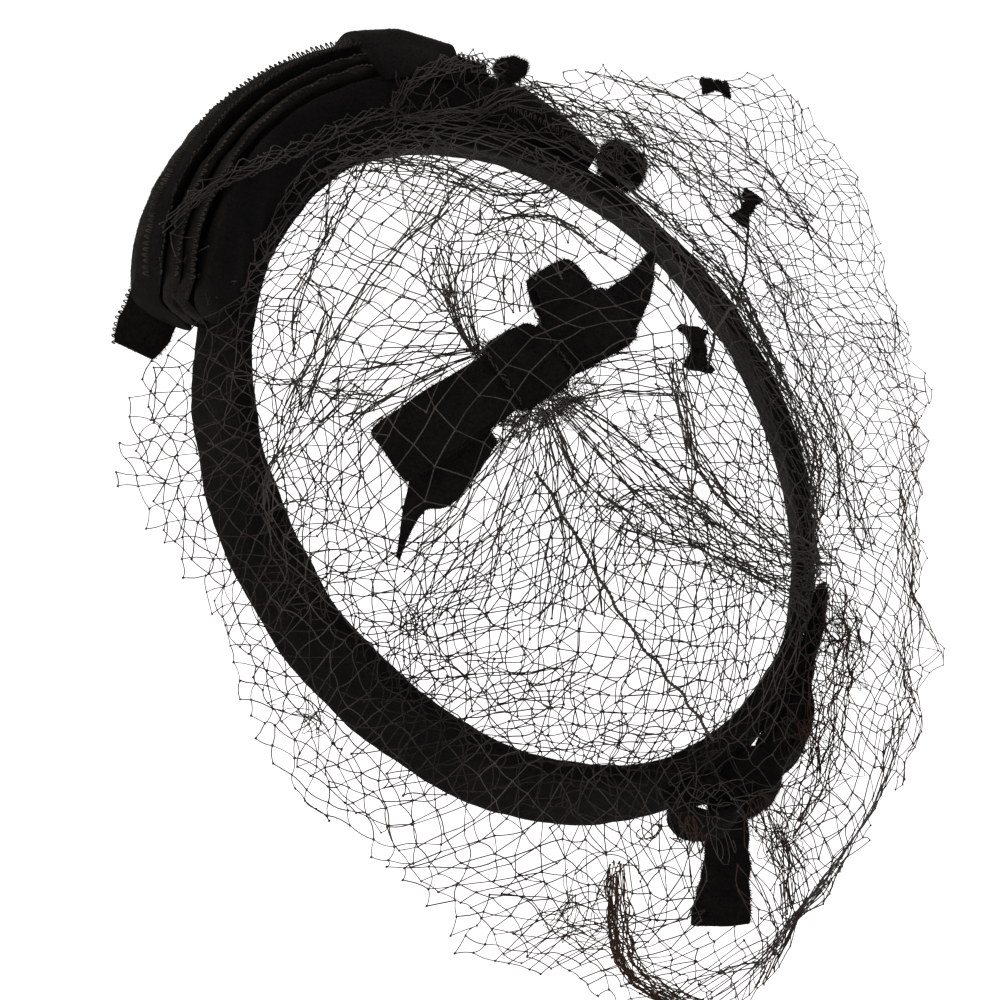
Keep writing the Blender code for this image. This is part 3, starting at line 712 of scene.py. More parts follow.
VEIL_DOME = [
    # reach, up
    (0.00, 56),
    (0.22, 55),
    (0.42, 51.8),
    (0.60, 46.6),
    (0.76, 39.8),
    (0.88, 32.6),
    (0.96, 25.6),
]
DOME_EDGE_OUT = -12.2
CROSSING_OUT = -9.0
VEIL_ROUND = [
    # angle, crossing_up, middle_up, hem_out, hem_up
    (0, 17.9, 12.6, 6, -4),
    (10, 17.9, 12.8, 8, -2),
    (20, 17.9, 13.2, 15, -3),
    (30, 17.9, 13.2, 16, -3),
    (40, 17.9, 13.6, 17, -1),
    (51, 17.9, 13.4, 27, -7),
    (62, 17.9, 14, 34, -9),
    (74, 19.2, 17.5, 47, -17),
    (86, 20.2, 20.5, 57, -27),
    (98, 20.6, 20.5, 50, -24),
    (110, 20.6, 19.5, 47, -17),
    (124, 20.2, 18, 44, -11),
    (138, 18.3, 16, 41, -6),
    (152, 18, 15, 42, -2),
    (166, 18, 17.5, 47, 3),
    (180, 19.2, 22, 53, 12),
    (194, 20.6, 27, 58, 22),
    (204, 23.2, 30, 54, 27),
    (213, 25.6, 31.5, 42, 28),
    (222, 26.6, 30.5, 24, 26.5),
    (232, 26.8, 29, 15, 26.5),
    (238, 27.4, 28.8, 4, 28.6),
    (242, 27.8, 28.6, -2, 29.4),
    (246, 26.4, 27.6, -5, 29.6),
    (250, 21.6, 23.2, -6.6, 25.4),
    (262, 20.9, 22.6, -6.6, 25.2),
    (316, 20.9, 22.6, -6.6, 25.2),
    (323.6, 21.4, 23, -6.2, 25.4),
    (326, 21.8, 22.4, 3, 21.5),
    (330, 20.2, 18.6, 11, 13.5),
    (336, 18.2, 15, 14.5, 7),
    (345, 17.9, 13.6, 14, 1),
    (353, 17.9, 12.8, 10, -2),
]
VEIL_ANGLES = 180
VEIL_STEPS = 120
# The share of the way to the hem from which the cloth runs straight on.
VEIL_EDGE = 0.9999


def veil_surface():
    """The veil's outer form: points and normals by angle and step, and each angle's length."""
    table = VEIL_ROUND + [(360.0, *VEIL_ROUND[0][1:])]
    angles = np.arange(VEIL_ANGLES) * 360.0 / VEIL_ANGLES
    crossing, middle, hem_out, hem_up = at_angle(table, angles)
    columns = []
    for k, angle in enumerate(angles):
        edge = around(angle, DOME_EDGE_OUT, 0.0)
        rows = [edge * (reach, reach, 0.0) + (0.0, 0.0, up) for reach, up in VEIL_DOME]
        rows.append(around(angle, CROSSING_OUT, crossing[k]))
        rows.append(around(angle, (CROSSING_OUT + hem_out[k]) / 2, middle[k]))
        rows.append(around(angle, hem_out[k], hem_up[k]))
        columns.append(through(rows, VEIL_STEPS + 1))
    grid = np.array(columns)
    lengths = np.linalg.norm(np.diff(grid, axis=1), axis=2).sum(axis=1)
    down = np.gradient(grid, axis=1)
    round_it = np.roll(grid, -1, axis=0) - np.roll(grid, 1, axis=0)
    normals = unit(np.cross(down, round_it))
    normals[:, 0] = (0.0, 0.0, 1.0)
    return grid, normals, lengths


SURFACE, SURFACE_NORMALS, MERIDIANS = veil_surface()


def veil_place(flat):
    """The angle (in columns) and share of the way to the hem of places on the flat veil."""
    reach = np.linalg.norm(flat, axis=-1)
    turn = np.arctan2(
        flat[..., 1] / (BAND_HALF_LENGTH + DOME_EDGE_OUT),
        flat[..., 0] / (BAND_HALF_WIDTH + DOME_EDGE_OUT),
    )
    column = (turn / (2 * math.pi) * VEIL_ANGLES) % VEIL_ANGLES
    low = column.astype(int) % VEIL_ANGLES
    part = column - np.floor(column)
    length = MERIDIANS[low] * (1 - part) + MERIDIANS[(low + 1) % VEIL_ANGLES] * part
    return column, reach / length


def on_veil(flat, lift=0.0):
    """The points a lift above the flat veil's places, and the cloth's normals there."""
    flat = np.asarray(flat, float)
    column, share = veil_place(flat)
    low, part = column.astype(int) % VEIL_ANGLES, (column - np.floor(column))[..., None]
    after = (low + 1) % VEIL_ANGLES
    row = np.minimum(share, VEIL_EDGE) * VEIL_STEPS
    step, rest = row.astype(int), (row - np.floor(row))[..., None]

    def read(field):
        near = field[low, step] * (1 - rest) + field[low, step + 1] * rest
        far = field[after, step] * (1 - rest) + field[after, step + 1] * rest
        return near * (1 - part) + far * part

    normals = unit(read(SURFACE_NORMALS))
    beyond = (np.maximum(share - VEIL_EDGE, 0.0) * MERIDIANS[low])[..., None]
    edge = unit(SURFACE[low, -1] - SURFACE[low, -4])
    return read(SURFACE) + edge * beyond + normals * np.asarray(lift)[..., None], normals


# ---------------------------------------------------------------- bows

CROWN_BOW_AT = (20.0, -7.0)
CROWN_BOW_TURN = math.radians(5.0)
CROWN_KNOT_HALF = (7.0, 8.0, 4.6)
CROWN_KNOT_LIFT = 0.8
# The stitches run along the knot's two ends, at these shares of its half length.
STITCH_ENDS = (-0.94, 0.96)
STITCHES = 26
STITCH_RADIUS = 0.15
LEFT_LOOP = [
    # along, up
    (8.4, 3.7), (13, 3.4), (22, 3.3), (31.5, 3.8), (34.4, 5.3), (31.5, 7.4), (22, 7.9),
    (13, 7.5), (8.4, 6.2),
]
RIGHT_LOOP = [
    # along, up
    (-8.4, 5.6), (-13, 6.9), (-18.5, 7.4), (-23.4, 6.4), (-24.8, 4.4), (-23, 2.8),
    (-18, 2.4), (-13, 2.6), (-8.4, 3.4),
]
FRONT_LOOP = [
    # along, up
    (0, 3.8), (2.4, 2.4), (5.2, 2.6), (7, 5.2), (6, 8.2), (3, 8.6), (0.3, 6.6),
]
LEFT_LOOP_TURN = 3.0
RIGHT_LOOP_TURN = 0.0
CROWN_BOW_SHIFT = 1.8
# The velvet of each loop runs on under the knot, this far past the end of its table.
LOOP_RUNS_UNDER = 2.6
# Each long loop narrows outwards: distance from the bow's middle, half width there.
CROWN_LOOP_NEAR = (8.0, 7.2)
CROWN_LOOP_FAR = (35.0, 6.4)
# The creases fade, and the loop's end runs in, over this length past the first distance.
CROWN_LOOP_FADE = 7.0
FRONT_LOOP_NEAR = (0.0, 6.8)
FRONT_LOOP_FAR = (7.0, 4.8)
FRONT_LOOP_FADE = 4.0
FRONT_LOOP_ROOT = (-16.0, -7.0)
LEFT_TAIL_ROOT = (5.0, 10.4)
LEFT_TAIL_HEADING = 6.0
LEFT_TAIL = [
    # along, near_edge, far_edge
    (6.2, -6, 1.6), (9.5, -6.2, 3.4), (13.9, -6.4, 5.6), (19, -6.2, 7.4), (22, -4.8, 7.2),
    (24.4, -1.4, 5.6), (27.2, 2, 6.4), (30.2, 6, 8.6), (33, 10, 11.2),
]
RIGHT_TAIL_ROOT = (-29.0, -8.0)
RIGHT_TAIL_HEADING = 203.0
RIGHT_TAIL = [
    # along, near_edge, far_edge
    (-6, -10.4, 1.2), (-2, -9.6, 1.2), (2, -8.8, 0.6), (6, -7.8, 0),
    (10, -6.4, -0.3), (14, -4.8, -0.4), (18.5, -2.8, -0.4), (22.8, -1.2, -0.2),
]
TAIL_LIFT = 1.1
TAIL_HALF_THICK = 0.6
TAIL_LEAST_HALF = 0.4
BACK_LOOP_CLIMB = 8.0
LONG_LOOP_HALF = 7.5
SHORT_LOOP_HALF = 6.7
PLEAT_HALF = 7.2
PLEAT_THICK = 5.6
BACK_MM_PER_DEGREE = 1.9
LONG_LOOP = [
    # angle, stand
    (99.9, 8.2), (103, 10.4), (107.5, 10.4), (111, 8.6), (114.5, 5.6), (119, 4),
    (126, 3.7), (131.5, 3.7), (134, 2.6), (131, 1.5), (124, 1.4), (114, 1.5),
    (107, 2), (102, 3), (99.9, 5),
]
LONG_PLEAT_SEED = 108
LONG_PLEAT = [
    # angle, stand
    (98.5, 6.6), (103, 7), (107, 6.6), (110.5, 5.2), (114, 3.6), (118.5, 2.8),
]
SHORT_LOOP = [
    # angle, stand
    (89.7, 6.4), (88, 3.8), (85, 2.2), (82.2, 2.2), (80.6, 4.4), (81.2, 8.2), (83.6, 11.2),
    (87, 12.6), (89.7, 10.6),
]
BACK_KNOT_ANGLE = 95.0
BACK_KNOT_STAND = 7.6
BACK_KNOT_HALF = (6.3, 6.9, 9.2)
BACK_TAIL = [
    # x, y, z, half_width
    (-6.4, 101.5, -0.8, 5.2), (-3, 110.5, -2.8, 5.6), (0.6, 119.5, -7.2, 6.2),
    (3.2, 127, -12, 7.2), (4.8, 133.5, -17, 8),
]
# The back tail is this much higher at its middle than its table says.
TAIL_ARCH = 0.8
# The bows lie this far above the dome, whose slope is measured over this distance.
DOME_COVER = 0.5
DOME_STEP = 4.0


def on_dome(places, lift):
    """The points a lift above the dome, over flat (x, y) places near the crown."""
    places = np.asarray(places, float)
    half = np.array([BAND_HALF_WIDTH, BAND_HALF_LENGTH]) + DOME_EDGE_OUT
    reaches, heights = np.array(VEIL_DOME).T

    def height(spots):
        return np.interp(np.linalg.norm(spots / half, axis=-1), reaches, heights) + DOME_COVER

    slopes = [
        (height(places + offset) - height(places - offset)) / (2 * DOME_STEP)
        for offset in ((DOME_STEP, 0.0), (0.0, DOME_STEP))
    ]
    normals = unit(np.stack([-slopes[0], -slopes[1], np.ones_like(slopes[0])], axis=-1))
    here = np.concatenate([places, height(places)[..., None]], axis=-1)
    return here + normals * np.asarray(lift)[..., None], normals


def tail_ribbon(name, node, table, root, heading, seed):
    """A ribbon end laid on the dome, its edges from a table along its length."""
    turn = math.radians(heading)
    ahead = np.array([math.cos(turn), math.sin(turn)])
    aside = np.array([-ahead[1], ahead[0]])
    start = np.array(CROWN_BOW_AT) + np.array(root)
    rows = through(table, 60)
    x, y = ribbon_section()
    near, far = rows[:, 1], rows[:, 2]
    middle, half = (near + far) / 2, np.maximum(np.abs(far - near) / 2, TAIL_LEAST_HALF)
    side = middle[:, None] + half[:, None] * x
    spots = start + ahead * rows[:, :1, None] + aside * side[..., None]
    curl = 0.35 * np.sin(rows[:, :1] * 0.32 + 1.0) * x + 0.7 * np.abs(x) ** 3
    grid, _ = on_dome(spots, TAIL_LIFT + y * TAIL_HALF_THICK + np.abs(curl) * 0.3)
    add_ribbon(name, node, grid, False, seed, 1500)


def crown_bow():
    """The bow on the crown: a stitched knot, two long loops, a short one and two tails."""
    origin, away = (v[0] for v in on_dome([CROWN_BOW_AT], np.zeros(1)))
    along = np.array([math.cos(CROWN_BOW_TURN), math.sin(CROWN_BOW_TURN), 0.0])
    along = unit(along - away * np.dot(along, away))
    across = np.cross(away, along)
    middle = origin + across * CROWN_BOW_SHIFT
    reaches, halves = zip(CROWN_LOOP_NEAR, CROWN_LOOP_FAR)
    for name, table, turn, seed, fuzz, length in (
        ("left", LEFT_LOOP, LEFT_LOOP_TURN, 81, 4600, 0.063),
        ("right", RIGHT_LOOP, RIGHT_LOOP_TURN, 84, 3600, 0.048),
    ):
        turn = math.radians(turn)
        axis = along * math.cos(turn) + across * math.sin(turn)
        line = through(table, 90, closed=True)
        reach = np.abs(line[:, 0])
        near = np.exp(-np.maximum(reach - CROWN_LOOP_NEAR[0], 0.0) / CROWN_LOOP_FADE)
        line[:, 0] -= np.sign(line[:, 0]) * LOOP_RUNS_UNDER * near
        path = middle + axis * line[:, :1] + away * line[:, 1:]
        half = np.interp(reach, reaches, halves)
        sideways = np.cross(away, axis)
        grid = ribbon_grid(path, sideways, half, LOOP_RIBBON, True, 2.4, near * 0.7, seed)
        add_ribbon(
            f"crown_loop_{name}", f"crown_bow_loop_{name}", grid, True, seed, fuzz,
        )
    root = origin + along * FRONT_LOOP_ROOT[0] + across * FRONT_LOOP_ROOT[1]
    line = through(FRONT_LOOP, 60, closed=True)
    near = np.exp(-np.maximum(line[:, 0], 0.0) / FRONT_LOOP_FADE)
    half = np.interp(line[:, 0], *zip(FRONT_LOOP_NEAR, FRONT_LOOP_FAR))
    reach = line[:, 0] - LOOP_RUNS_UNDER * near
    path = root - across * reach[:, None] + away * line[:, 1:]
    grid = ribbon_grid(path, along, half, LOOP_RIBBON, True, 1.4, near * 0.4, 87)
    add_ribbon(
        "crown_loop_front", "crown_bow_loop_front", grid, True, 87, 2000,
    )
    for name, table, root, heading, seed, flat in (
        ("left", LEFT_TAIL, LEFT_TAIL_ROOT, LEFT_TAIL_HEADING, 90, (0.0115, 0.031)),
        ("right", RIGHT_TAIL, RIGHT_TAIL_ROOT, RIGHT_TAIL_HEADING, 93, (0.0105, 0.026)),
    ):
        tail_ribbon(
            f"crown_tail_{name}", f"crown_bow_tail_{name}", table, root, heading, seed
        )
    centre = middle + away * (CROWN_KNOT_HALF[2] + CROWN_KNOT_LIFT)
    axes = (along, across, away)
    knot("crown_knot", "crown_bow_knot", centre, axes, CROWN_KNOT_HALF, 0.42, 96, 3600, 0.8)
    stitches = Piece("crown_knot_stitches")
    random = np.random.default_rng(97)
    ends = []
    for side in STITCH_ENDS:
        for share in np.linspace(-0.9, 0.9, STITCHES):
            here = centre + along * CROWN_KNOT_HALF[0] * (side + random.normal(0.0, 0.03))
            here = here + across * CROWN_KNOT_HALF[1] * share + away * CROWN_KNOT_HALF[2] * 0.94
            turn = across * 0.55 + along * random.normal(0.0, 0.15)
            ends.append([here - turn, here + away * 0.28, here + turn])
    stitches.tubes(ends, away, STITCH_RADIUS, 4, capped=True)
    stitches.finish(PICOT, slot="velvet")


def band_ribbon(line, half, thickness, closed, pleats, squeeze, seed):
    """A ribbon's grid along (angle, stand) places on the band, standing on its edge."""
    path = on_band(line[:, 0], BACK_LOOP_CLIMB, line[:, 1])
    sideways = np.array([band_axes(angle)[2] for angle in line[:, 0]])
    return ribbon_grid(path, sideways, half, thickness, closed, pleats, squeeze, seed)


def back_bow():
    """The bow at the back: a knot, a long and a short loop on the band, and a tail."""
    pleat = band_ribbon(
        through(LONG_PLEAT, 40), PLEAT_HALF, PLEAT_THICK, False, 2.6, 0.3, LONG_PLEAT_SEED
    )
    for name, table, half, pleat, seed, fuzz, flat in (
        ("long", LONG_LOOP, LONG_LOOP_HALF, pleat, 101, 4200, (0.015, 0.160)),
        ("short", SHORT_LOOP, SHORT_LOOP_HALF, None, 104, 2000, (0.015, 0.040)),
    ):
        scale = np.array([BACK_MM_PER_DEGREE, 1.0])
        line = through(np.array(table) * scale, 96, closed=True) / scale
        near = np.exp(-np.maximum(np.abs(line[:, 0] - BACK_KNOT_ANGLE) - 5.0, 0.0) / 4.0)
        grid = band_ribbon(line, half, LOOP_RIBBON, True, 2.6, near * 0.6, seed)
        add_ribbon(
            f"back_loop_{name}", f"back_bow_loop_{name}", grid, True, seed, fuzz,
            pleat=pleat,
        )
    along, stand, climb = band_axes(BACK_KNOT_ANGLE)
    rows = through(BACK_TAIL, 60)
    level = unit(np.cross(rows[-1, :3] - rows[0, :3], climb))
    near = np.exp(-np.linspace(0.0, 4.0, len(rows)))
    arch = np.sin(np.linspace(0.0, 3.0, len(rows)))[:, None] * np.array([0.0, 0.0, TAIL_ARCH])
    path = rows[:, :3] + arch
    grid = ribbon_grid(path, level, rows[:, 3], LOOP_RIBBON, False, 1.6, near * 0.7, 107)
    add_ribbon(
        "back_tail", "back_bow_tail", grid, False, 107, 3600
    )
    centre = on_band(BACK_KNOT_ANGLE, BACK_LOOP_CLIMB, BACK_KNOT_STAND)
    axes = (along, stand, climb)
    knot("back_knot", "back_bow_knot", centre, axes, BACK_KNOT_HALF, 0.6, 110, 3600, 0.8)


# ---------------------------------------------------------------- small trims

# Knots on the band: angle, climb and stand of the middle, and half sizes along the axes.
SIDE_BALL_AT = (219.5, 15.6, 6.8)
SIDE_BALL_HALF = (6.8, 6.3, 6.3)
CORONET_KNOT_AT = (244.6, 22.4, 16.5)
CORONET_KNOT_HALF = (4.2, 3.4, 3.4)
# The cut ribbon end: its root, heading, length, half width, droop, and its slant across.
LEFT_END_AT = (66.6, -75.0, 0.3)
LEFT_END_HEADING = math.radians(42.0)
LEFT_END_LENGTH = 19.5
LEFT_END_HALF = 7.0
LEFT_END_DROOP = -2.5
LEFT_END_SLANT = -0.12


def small_trims():
    """The ball and the little knot on the coronet, and the cut ribbon end on its left."""
    knot(
        "side_ball_velvet", "side_ball", on_band(*SIDE_BALL_AT), band_axes(SIDE_BALL_AT[0]),
        SIDE_BALL_HALF, 0.9, 120, 5200, 1.5, lumps=0.7,
    )
    knot(
        "coronet_knot_velvet", "coronet_knot", on_band(*CORONET_KNOT_AT),
        band_axes(CORONET_KNOT_AT[0]), CORONET_KNOT_HALF, 0.8, 124, 2200, 1.2, lumps=0.8,
    )
    ahead = np.array([math.cos(LEFT_END_HEADING), math.sin(LEFT_END_HEADING), 0.0])
    share = np.linspace(0.0, 1.0, 56)[:, None]
    path = np.array(LEFT_END_AT) + ahead * LEFT_END_LENGTH * share
    path = path + np.array([0.0, 0.0, LEFT_END_DROOP]) * share**2
    across = np.array([-ahead[1], ahead[0], LEFT_END_SLANT])
    ripple = 0.25 * np.sin(share[:, 0] * 9.0)
    half = LEFT_END_HALF * (1.0 - 0.3 * share[:, 0] ** 6)
    grid = ribbon_grid(path, across, half, RIBBON * 0.9, False, 1.3, np.abs(ripple), 128)
    add_ribbon(
        "left_end", "left_ribbon_end", grid, False, 128, 2600,
        edges=(RIBBON_POINTS // 2,),
    )


VEIL_BOWS = [
    # angle, share of the way to the hem, turn, length
    (213, 0.900, 20, 8.5),
    (197, 0.706, 75, 9.5),
    (174, 0.132, -23, 11),
]
VEIL_BOW_THICK = 1.7
VEIL_BOW_BAND_THICK = 0.8


def veil_bow(number, angle, share, turn, length):
    """A tiny bow of two pinched velvet loops and a band, sewn to the veil."""
    low, high = (Vector(corner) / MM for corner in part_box(f"veil_bow_{number}"))
    centre = np.array((low + high) / 2)
    column = int(round(angle / 360.0 * VEIL_ANGLES)) % VEIL_ANGLES
    away = SURFACE_NORMALS[column, int(share * VEIL_STEPS)]
    level = unit(np.cross(away, (0.0, 0.0, 1.0)))
    spin = math.radians(turn)
    long = level * math.cos(spin) + np.cross(away, level) * math.sin(spin)
    wide = np.cross(away, long)
    reach = np.linspace(-1.0, 1.0, 40)
    halves = length * (0.16 + 0.20 * np.abs(reach) ** 1.4)
    arch = 0.5 * np.cos(reach * 3.0)
    path = centre + long * (reach * length * 0.5)[:, None] + away * arch[:, None]
    pinch = 0.5 - 0.45 * np.abs(reach)
    grid = ribbon_grid(path, wide, halves, VEIL_BOW_THICK, False, 1.6, pinch, 131 + number)
    grid = roughen(grid, False, 140 + number, 2.6, 0.35)
    piece = Piece(f"net_bow_{number}")
    piece.skin(grid)
    pile(piece, grid, False, 900, 0.9, 150 + number)
    reach = np.linspace(-1.0, 1.0, 16)
    arch = 1.5 - reach**2
    path = centre + wide * (reach * length * 0.17)[:, None] + away * arch[:, None]
    band = ribbon_grid(path, long, length * 0.09, VEIL_BOW_BAND_THICK, False, 1.0, 0.1, 5)
    piece.skin(band)
    pile(piece, band, False, 200, 0.7, 160 + number)
    made = piece.finish(VELVET, PILE, slot="velvet", nodes=(f"veil_bow_{number}",))


# ---------------------------------------------------------------- the net

THREAD_RADIUS = 0.15
CURL_RADIUS = 0.11
KNOT_SIZE = 0.38
# A knot's size, in the folds, against its size in the layers.
FOLD_KNOT = 0.9
# Threads that bow by more than this share of their span are drawn with more points.
CURVED = 0.055
# The share of a slack thread's arc that is drawn, and the most that a thread may bow.
SLACK_SHOWN = 0.3
MOST_BOW = 0.3
# A layer's lattice reaches this far, and is first trimmed to this margin round its discs.
NET_REACH = 340.0
NET_MARGIN = 6.0
# The layers' borders and hems are uneven by this much, in mm and in shares to the hem.
RAGGED = 5.0
HEM_RAGGED = 0.012
WARPS = [
    # wavelength, amount, added to the seed
    (75, 3.4, 0),
    (31, 1.6, 6),
]
# The share of the threads that is missing, as in worn net: in the layers, in the folds.
TORN = 0.012
FOLD_TORN = 0.05
# The layers rise and fall over this length, and each knot by about this much more.
RISE_WAVELENGTH = 34.0
RISE_JITTER = 0.22
LEAST_LIFT = 0.15
FOLD_LIFT = 0.8
SETTLE_ROUNDS = 14
SETTLE_STRIDE = 1.6
# The net hung on the coronet: each thread's length by its span, and how much it bows.
HUNG_SLACK = 1.03
HUNG_BEND = 0.05
# The gathering threads' two plies lie this far off their line and turn once in PLY_TWIST.
PLY_RADIUS = 0.23
PLY_OFF = 0.21
PLY_TWIST = 2.2
PLY_POINTS = 260

# What the upper net is lifted over: each a capsule from (x0, y0) to (x1, y1).
HUMPS = [
    # x0, y0, x1, y1, radius, height
    (28, -4, 40, -2.5, 8.5, 12),
    (42, -2, 56, -0.5, 9, 15.5),
    (-6, -7.4, 11.5, -6, 8.5, 11.4),
    (17, -5.4, 23, -5, 8.5, 12.4),
    (4.7, -15.4, 5.3, -23, 8, 13.4),
    (33, 5, 47, 8, 6, 3.2),
    (-4, -13, -27, -22.5, 4, 3.4),
]
HUMP_SLOPE = 11.0

# The back bow's tail hangs over the net, so the layers of net leave this strip free.
TAIL_STRIP = [
    # p, q, half width
    (12.5, 114, 6), (14, 122, 6.2), (16.5, 131, 7), (17.5, 133.5, 7.2),
]


def lift_over_bow(places):
    """How far the upper net is lifted by the crown bow beneath it."""
    lift = np.zeros(places.shape[:-1])
    for x0, y0, x1, y1, radius, height in HUMPS:
        start, run = np.array([x0, y0]), np.array([x1 - x0, y1 - y0])
        share = np.clip(((places - start) @ run) / (run @ run), 0.0, 1.0)
        far = np.linalg.norm(places - start - share[..., None] * run, axis=-1) - radius
        lift = np.maximum(lift, height * np.clip(1.0 - far / HUMP_SLOPE, 0.0, 1.0))
    return lift


# Places where the net is drawn together.
GATHERS = [
    # p, q, reach, strength
    (28, -15.5, 13, 0.55),
    (16, 9, 14, 0.60),
    (64, 34, 9, 0.40),
    (94, 46, 11, 0.45),
]
# Lines along which the net is folded, each as (p, q, half width) rows.
MAIN_FOLD = [
    (15, 4, 2.5), (9, 17, 4), (3, 30, 5), (-4, 41, 5), (-13, 51, 4), (-27, 61, 4),
    (-58, 75, 4),
]
MAIN_EDGE = [
    (19, 4, 2), (20, 18, 2), (16, 29, 3), (10, 39, 3), (0, 46, 3), (-12, 57, 3), (-38, 77, 3),
]
SIDE_FOLD = [
    (-15, 5, 3), (-12, 17, 2), (-9, 26, 2), (-13, 37, 2), (-21, 48, 2), (-31, 56, 3),
    (-64, 72, 3),
]
SIDE_SPUR = [(-12, 12, 1), (-8, 26, 1.5), (-4, 34, 1.5)]
LOW_FOLD = [(15, 29, 1.5), (7, 28, 1.5), (0, 33, 2), (-8, 43, 3)]
FAR_FOLD = [(-88, 8, 4), (-90, 27, 4), (-84, 46, 4), (-72, 62, 4)]
LEFT_FOLD = [(19, -81, 2), (34, -65, 1.6), (48, -54, 1.2), (56, -47, 1.4), (61, -37, 2)]
FRONT_FOLD = [
    (6, -57, 2), (18, -50, 1.6), (32, -45, 1.2), (46, -37, 1.2), (54, -31, 1.6), (66, -24, 3),
]
CORNER_FOLD = [
    (49, -54, 1), (48, -43, 1.2), (52, -37, 1.2), (58, -32, 1.8), (66, -27, 2.5),
    (71, -22, 2.5),
]
TOP_FOLD = [(24, -86, 3), (7, -64, 4), (1, -51, 4), (-9, -46, 4), (-26, -50, 4)]
TALL_FOLD = [(1, -88, 8), (9, -70, 8), (16, -52, 7), (23, -38, 5), (27, -26, 2)]
LEFT_FOLDS = [LEFT_FOLD, FRONT_FOLD, CORNER_FOLD]
RIGHT_FOLDS = [MAIN_FOLD, MAIN_EDGE, SIDE_FOLD]
# Gathers that spread out from the crown bow, short creases, and runs along the band.
BOW_FRONT_FAN = [(26.4, -13.6, 0.9), (24, -24, 3.8), (18, -39, 8.0)]
BOW_LEFT_FAN = [(26.4, -14, 1), (35, -16, 3), (44, -18, 6), (58, -20, 10)]
BOW_FRONT_CORD = [(26.6, -13.8, 1), (25.5, -22, 2), (22, -32, 3)]
BOW_FRONT = [(13, -17, 4), (7, -31, 6), (2, -45, 7)]
BOW_RIGHT = [(17, 3, 3), (9, 2, 5), (-3, 4, 6), (-14, 8, 7)]
BOW_BACK = [(21, 4, 2), (26, 16, 7), (32, 30, 11), (38, 44, 14)]
BOW_BACK_LEFT = [(22, 4, 3), (34, 12, 6), (46, 20, 9), (60, 26, 12)]
LEFT_CREASE = [(27, -86, 1), (34, -70, 1), (41, -60, 1)]
CORNER_CREASE = [(76, -46, 2), (63, -28, 2), (50, -15, 2)]
CORONET_RUN = [(-3, -101, 3), (-32, -94, 5), (-58, -80, 6), (-68, -58, 5)]
RIGHT_RUN = [(-60, -92, 2), (-84, -74, 2), (-104, -48, 2), (-116, -14, 3)]
RIGHT_BUNCH = [(-66, -78, 5), (-79, -62, 7), (-92, -52, 7), (-103, -42, 6), (-114, -27, 4)]
FAR_SWEEP = [
    (-46, -84, 5), (-70, -68, 5), (-86, -46, 6), (-98, -18, 7), (-94, 22, 6), (-86, 50, 5),
    (-74, 76, 4),
]
FOLDS = [
    # line, columns, lift, seed, and step and rough where they aren't as usual
    (MAIN_FOLD, 17, 0.8, 301),
    (MAIN_EDGE, 9, 0.8, 302),
    (SIDE_FOLD, 9, 1.0, 303),
    (SIDE_SPUR, 5, 1.2, 304),
    (LOW_FOLD, 7, 0.8, 305),
    (FAR_FOLD, 9, 1.4, 306),
    (LEFT_FOLD, 5, 1.0, 307),
    (FRONT_FOLD, 5, 1.0, 308),
    (CORNER_FOLD, 5, 1.2, 309),
    (TOP_FOLD, 10, 1.0, 310),
    (TALL_FOLD, 7, 0.9, 311),
    (LEFT_CREASE, 3, 1.2, 312),
    (CORNER_CREASE, 4, 1.2, 313),
    (BOW_FRONT_FAN, 16, 0.9, 314),
    (BOW_LEFT_FAN, 14, 0.9, 315),
    (BOW_FRONT_CORD, 12, 1.4, 316),
    (BOW_FRONT, 9, 1.2, 324),
    (BOW_RIGHT, 13, 1.2, 317),
    (BOW_BACK, 14, 0.9, 318),
    (BOW_BACK_LEFT, 14, 0.9, 319),
    (CORONET_RUN, 12, 2.0, 320),
    (RIGHT_RUN, 4, 2.5, 321),
    (RIGHT_BUNCH, 13, 2.6, 323),
    (FAR_SWEEP, 12, 2.2, 322, 6.0, 1.5),
]
# Lines on the coronet that net is hung between, each as (angle, climb, stand) rows.
RUFFLE_FOOT = [
    (268, 17.5, 1.4), (259, 17, 1.4), (250, 17, 1.4), (241, 19.9, 2.8), (232, 20.8, 4),
]
RUFFLE_BORDER = [
    (269, 23.5, 5), (265, 29, 9.5), (258, 29.5, 12.6), (251, 27, 13.4),
    (243, 23, 12.8), (231, 17, 9),
]
RUFFLE_ARCH = [
    (270, 27, 7.5), (266, 32.5, 12.8), (258, 32, 16.6), (251, 29, 17.4),
    (243, 24, 16.4), (236, 20, 14), (227, 15.5, 10.5),
]
RIM_INSIDE = [
    (317, 22.5, 23), (313, 25, 20.5), (308, 27.5, 16.4), (301, 28.6, 10.6),
    (291, 25, 5.4), (281, 23.5, 4.4), (270, 22.5, 3.6), (262, 19.5, 2.2),
]
RIM_OUTSIDE = [
    (318, 22.5, 25.6), (314, 25.6, 23.8), (308, 28.6, 19.8), (301, 30.2, 14.4),
    (291, 27.6, 9.4), (281, 26, 7.6), (270, 25, 6.6), (262, 22.5, 5.6),
]
STRANDS_HIGH = [
    (318, 23.5, 25), (321, 22.5, 23), (323, 22, 18), (324, 21, 11),
    (323, 20.5, 3),
]
STRANDS_LOW = [
    (314, 25.5, 22.5), (317, 25, 19), (319, 24.5, 14), (320, 23, 8),
    (319, 20.5, 1),
]
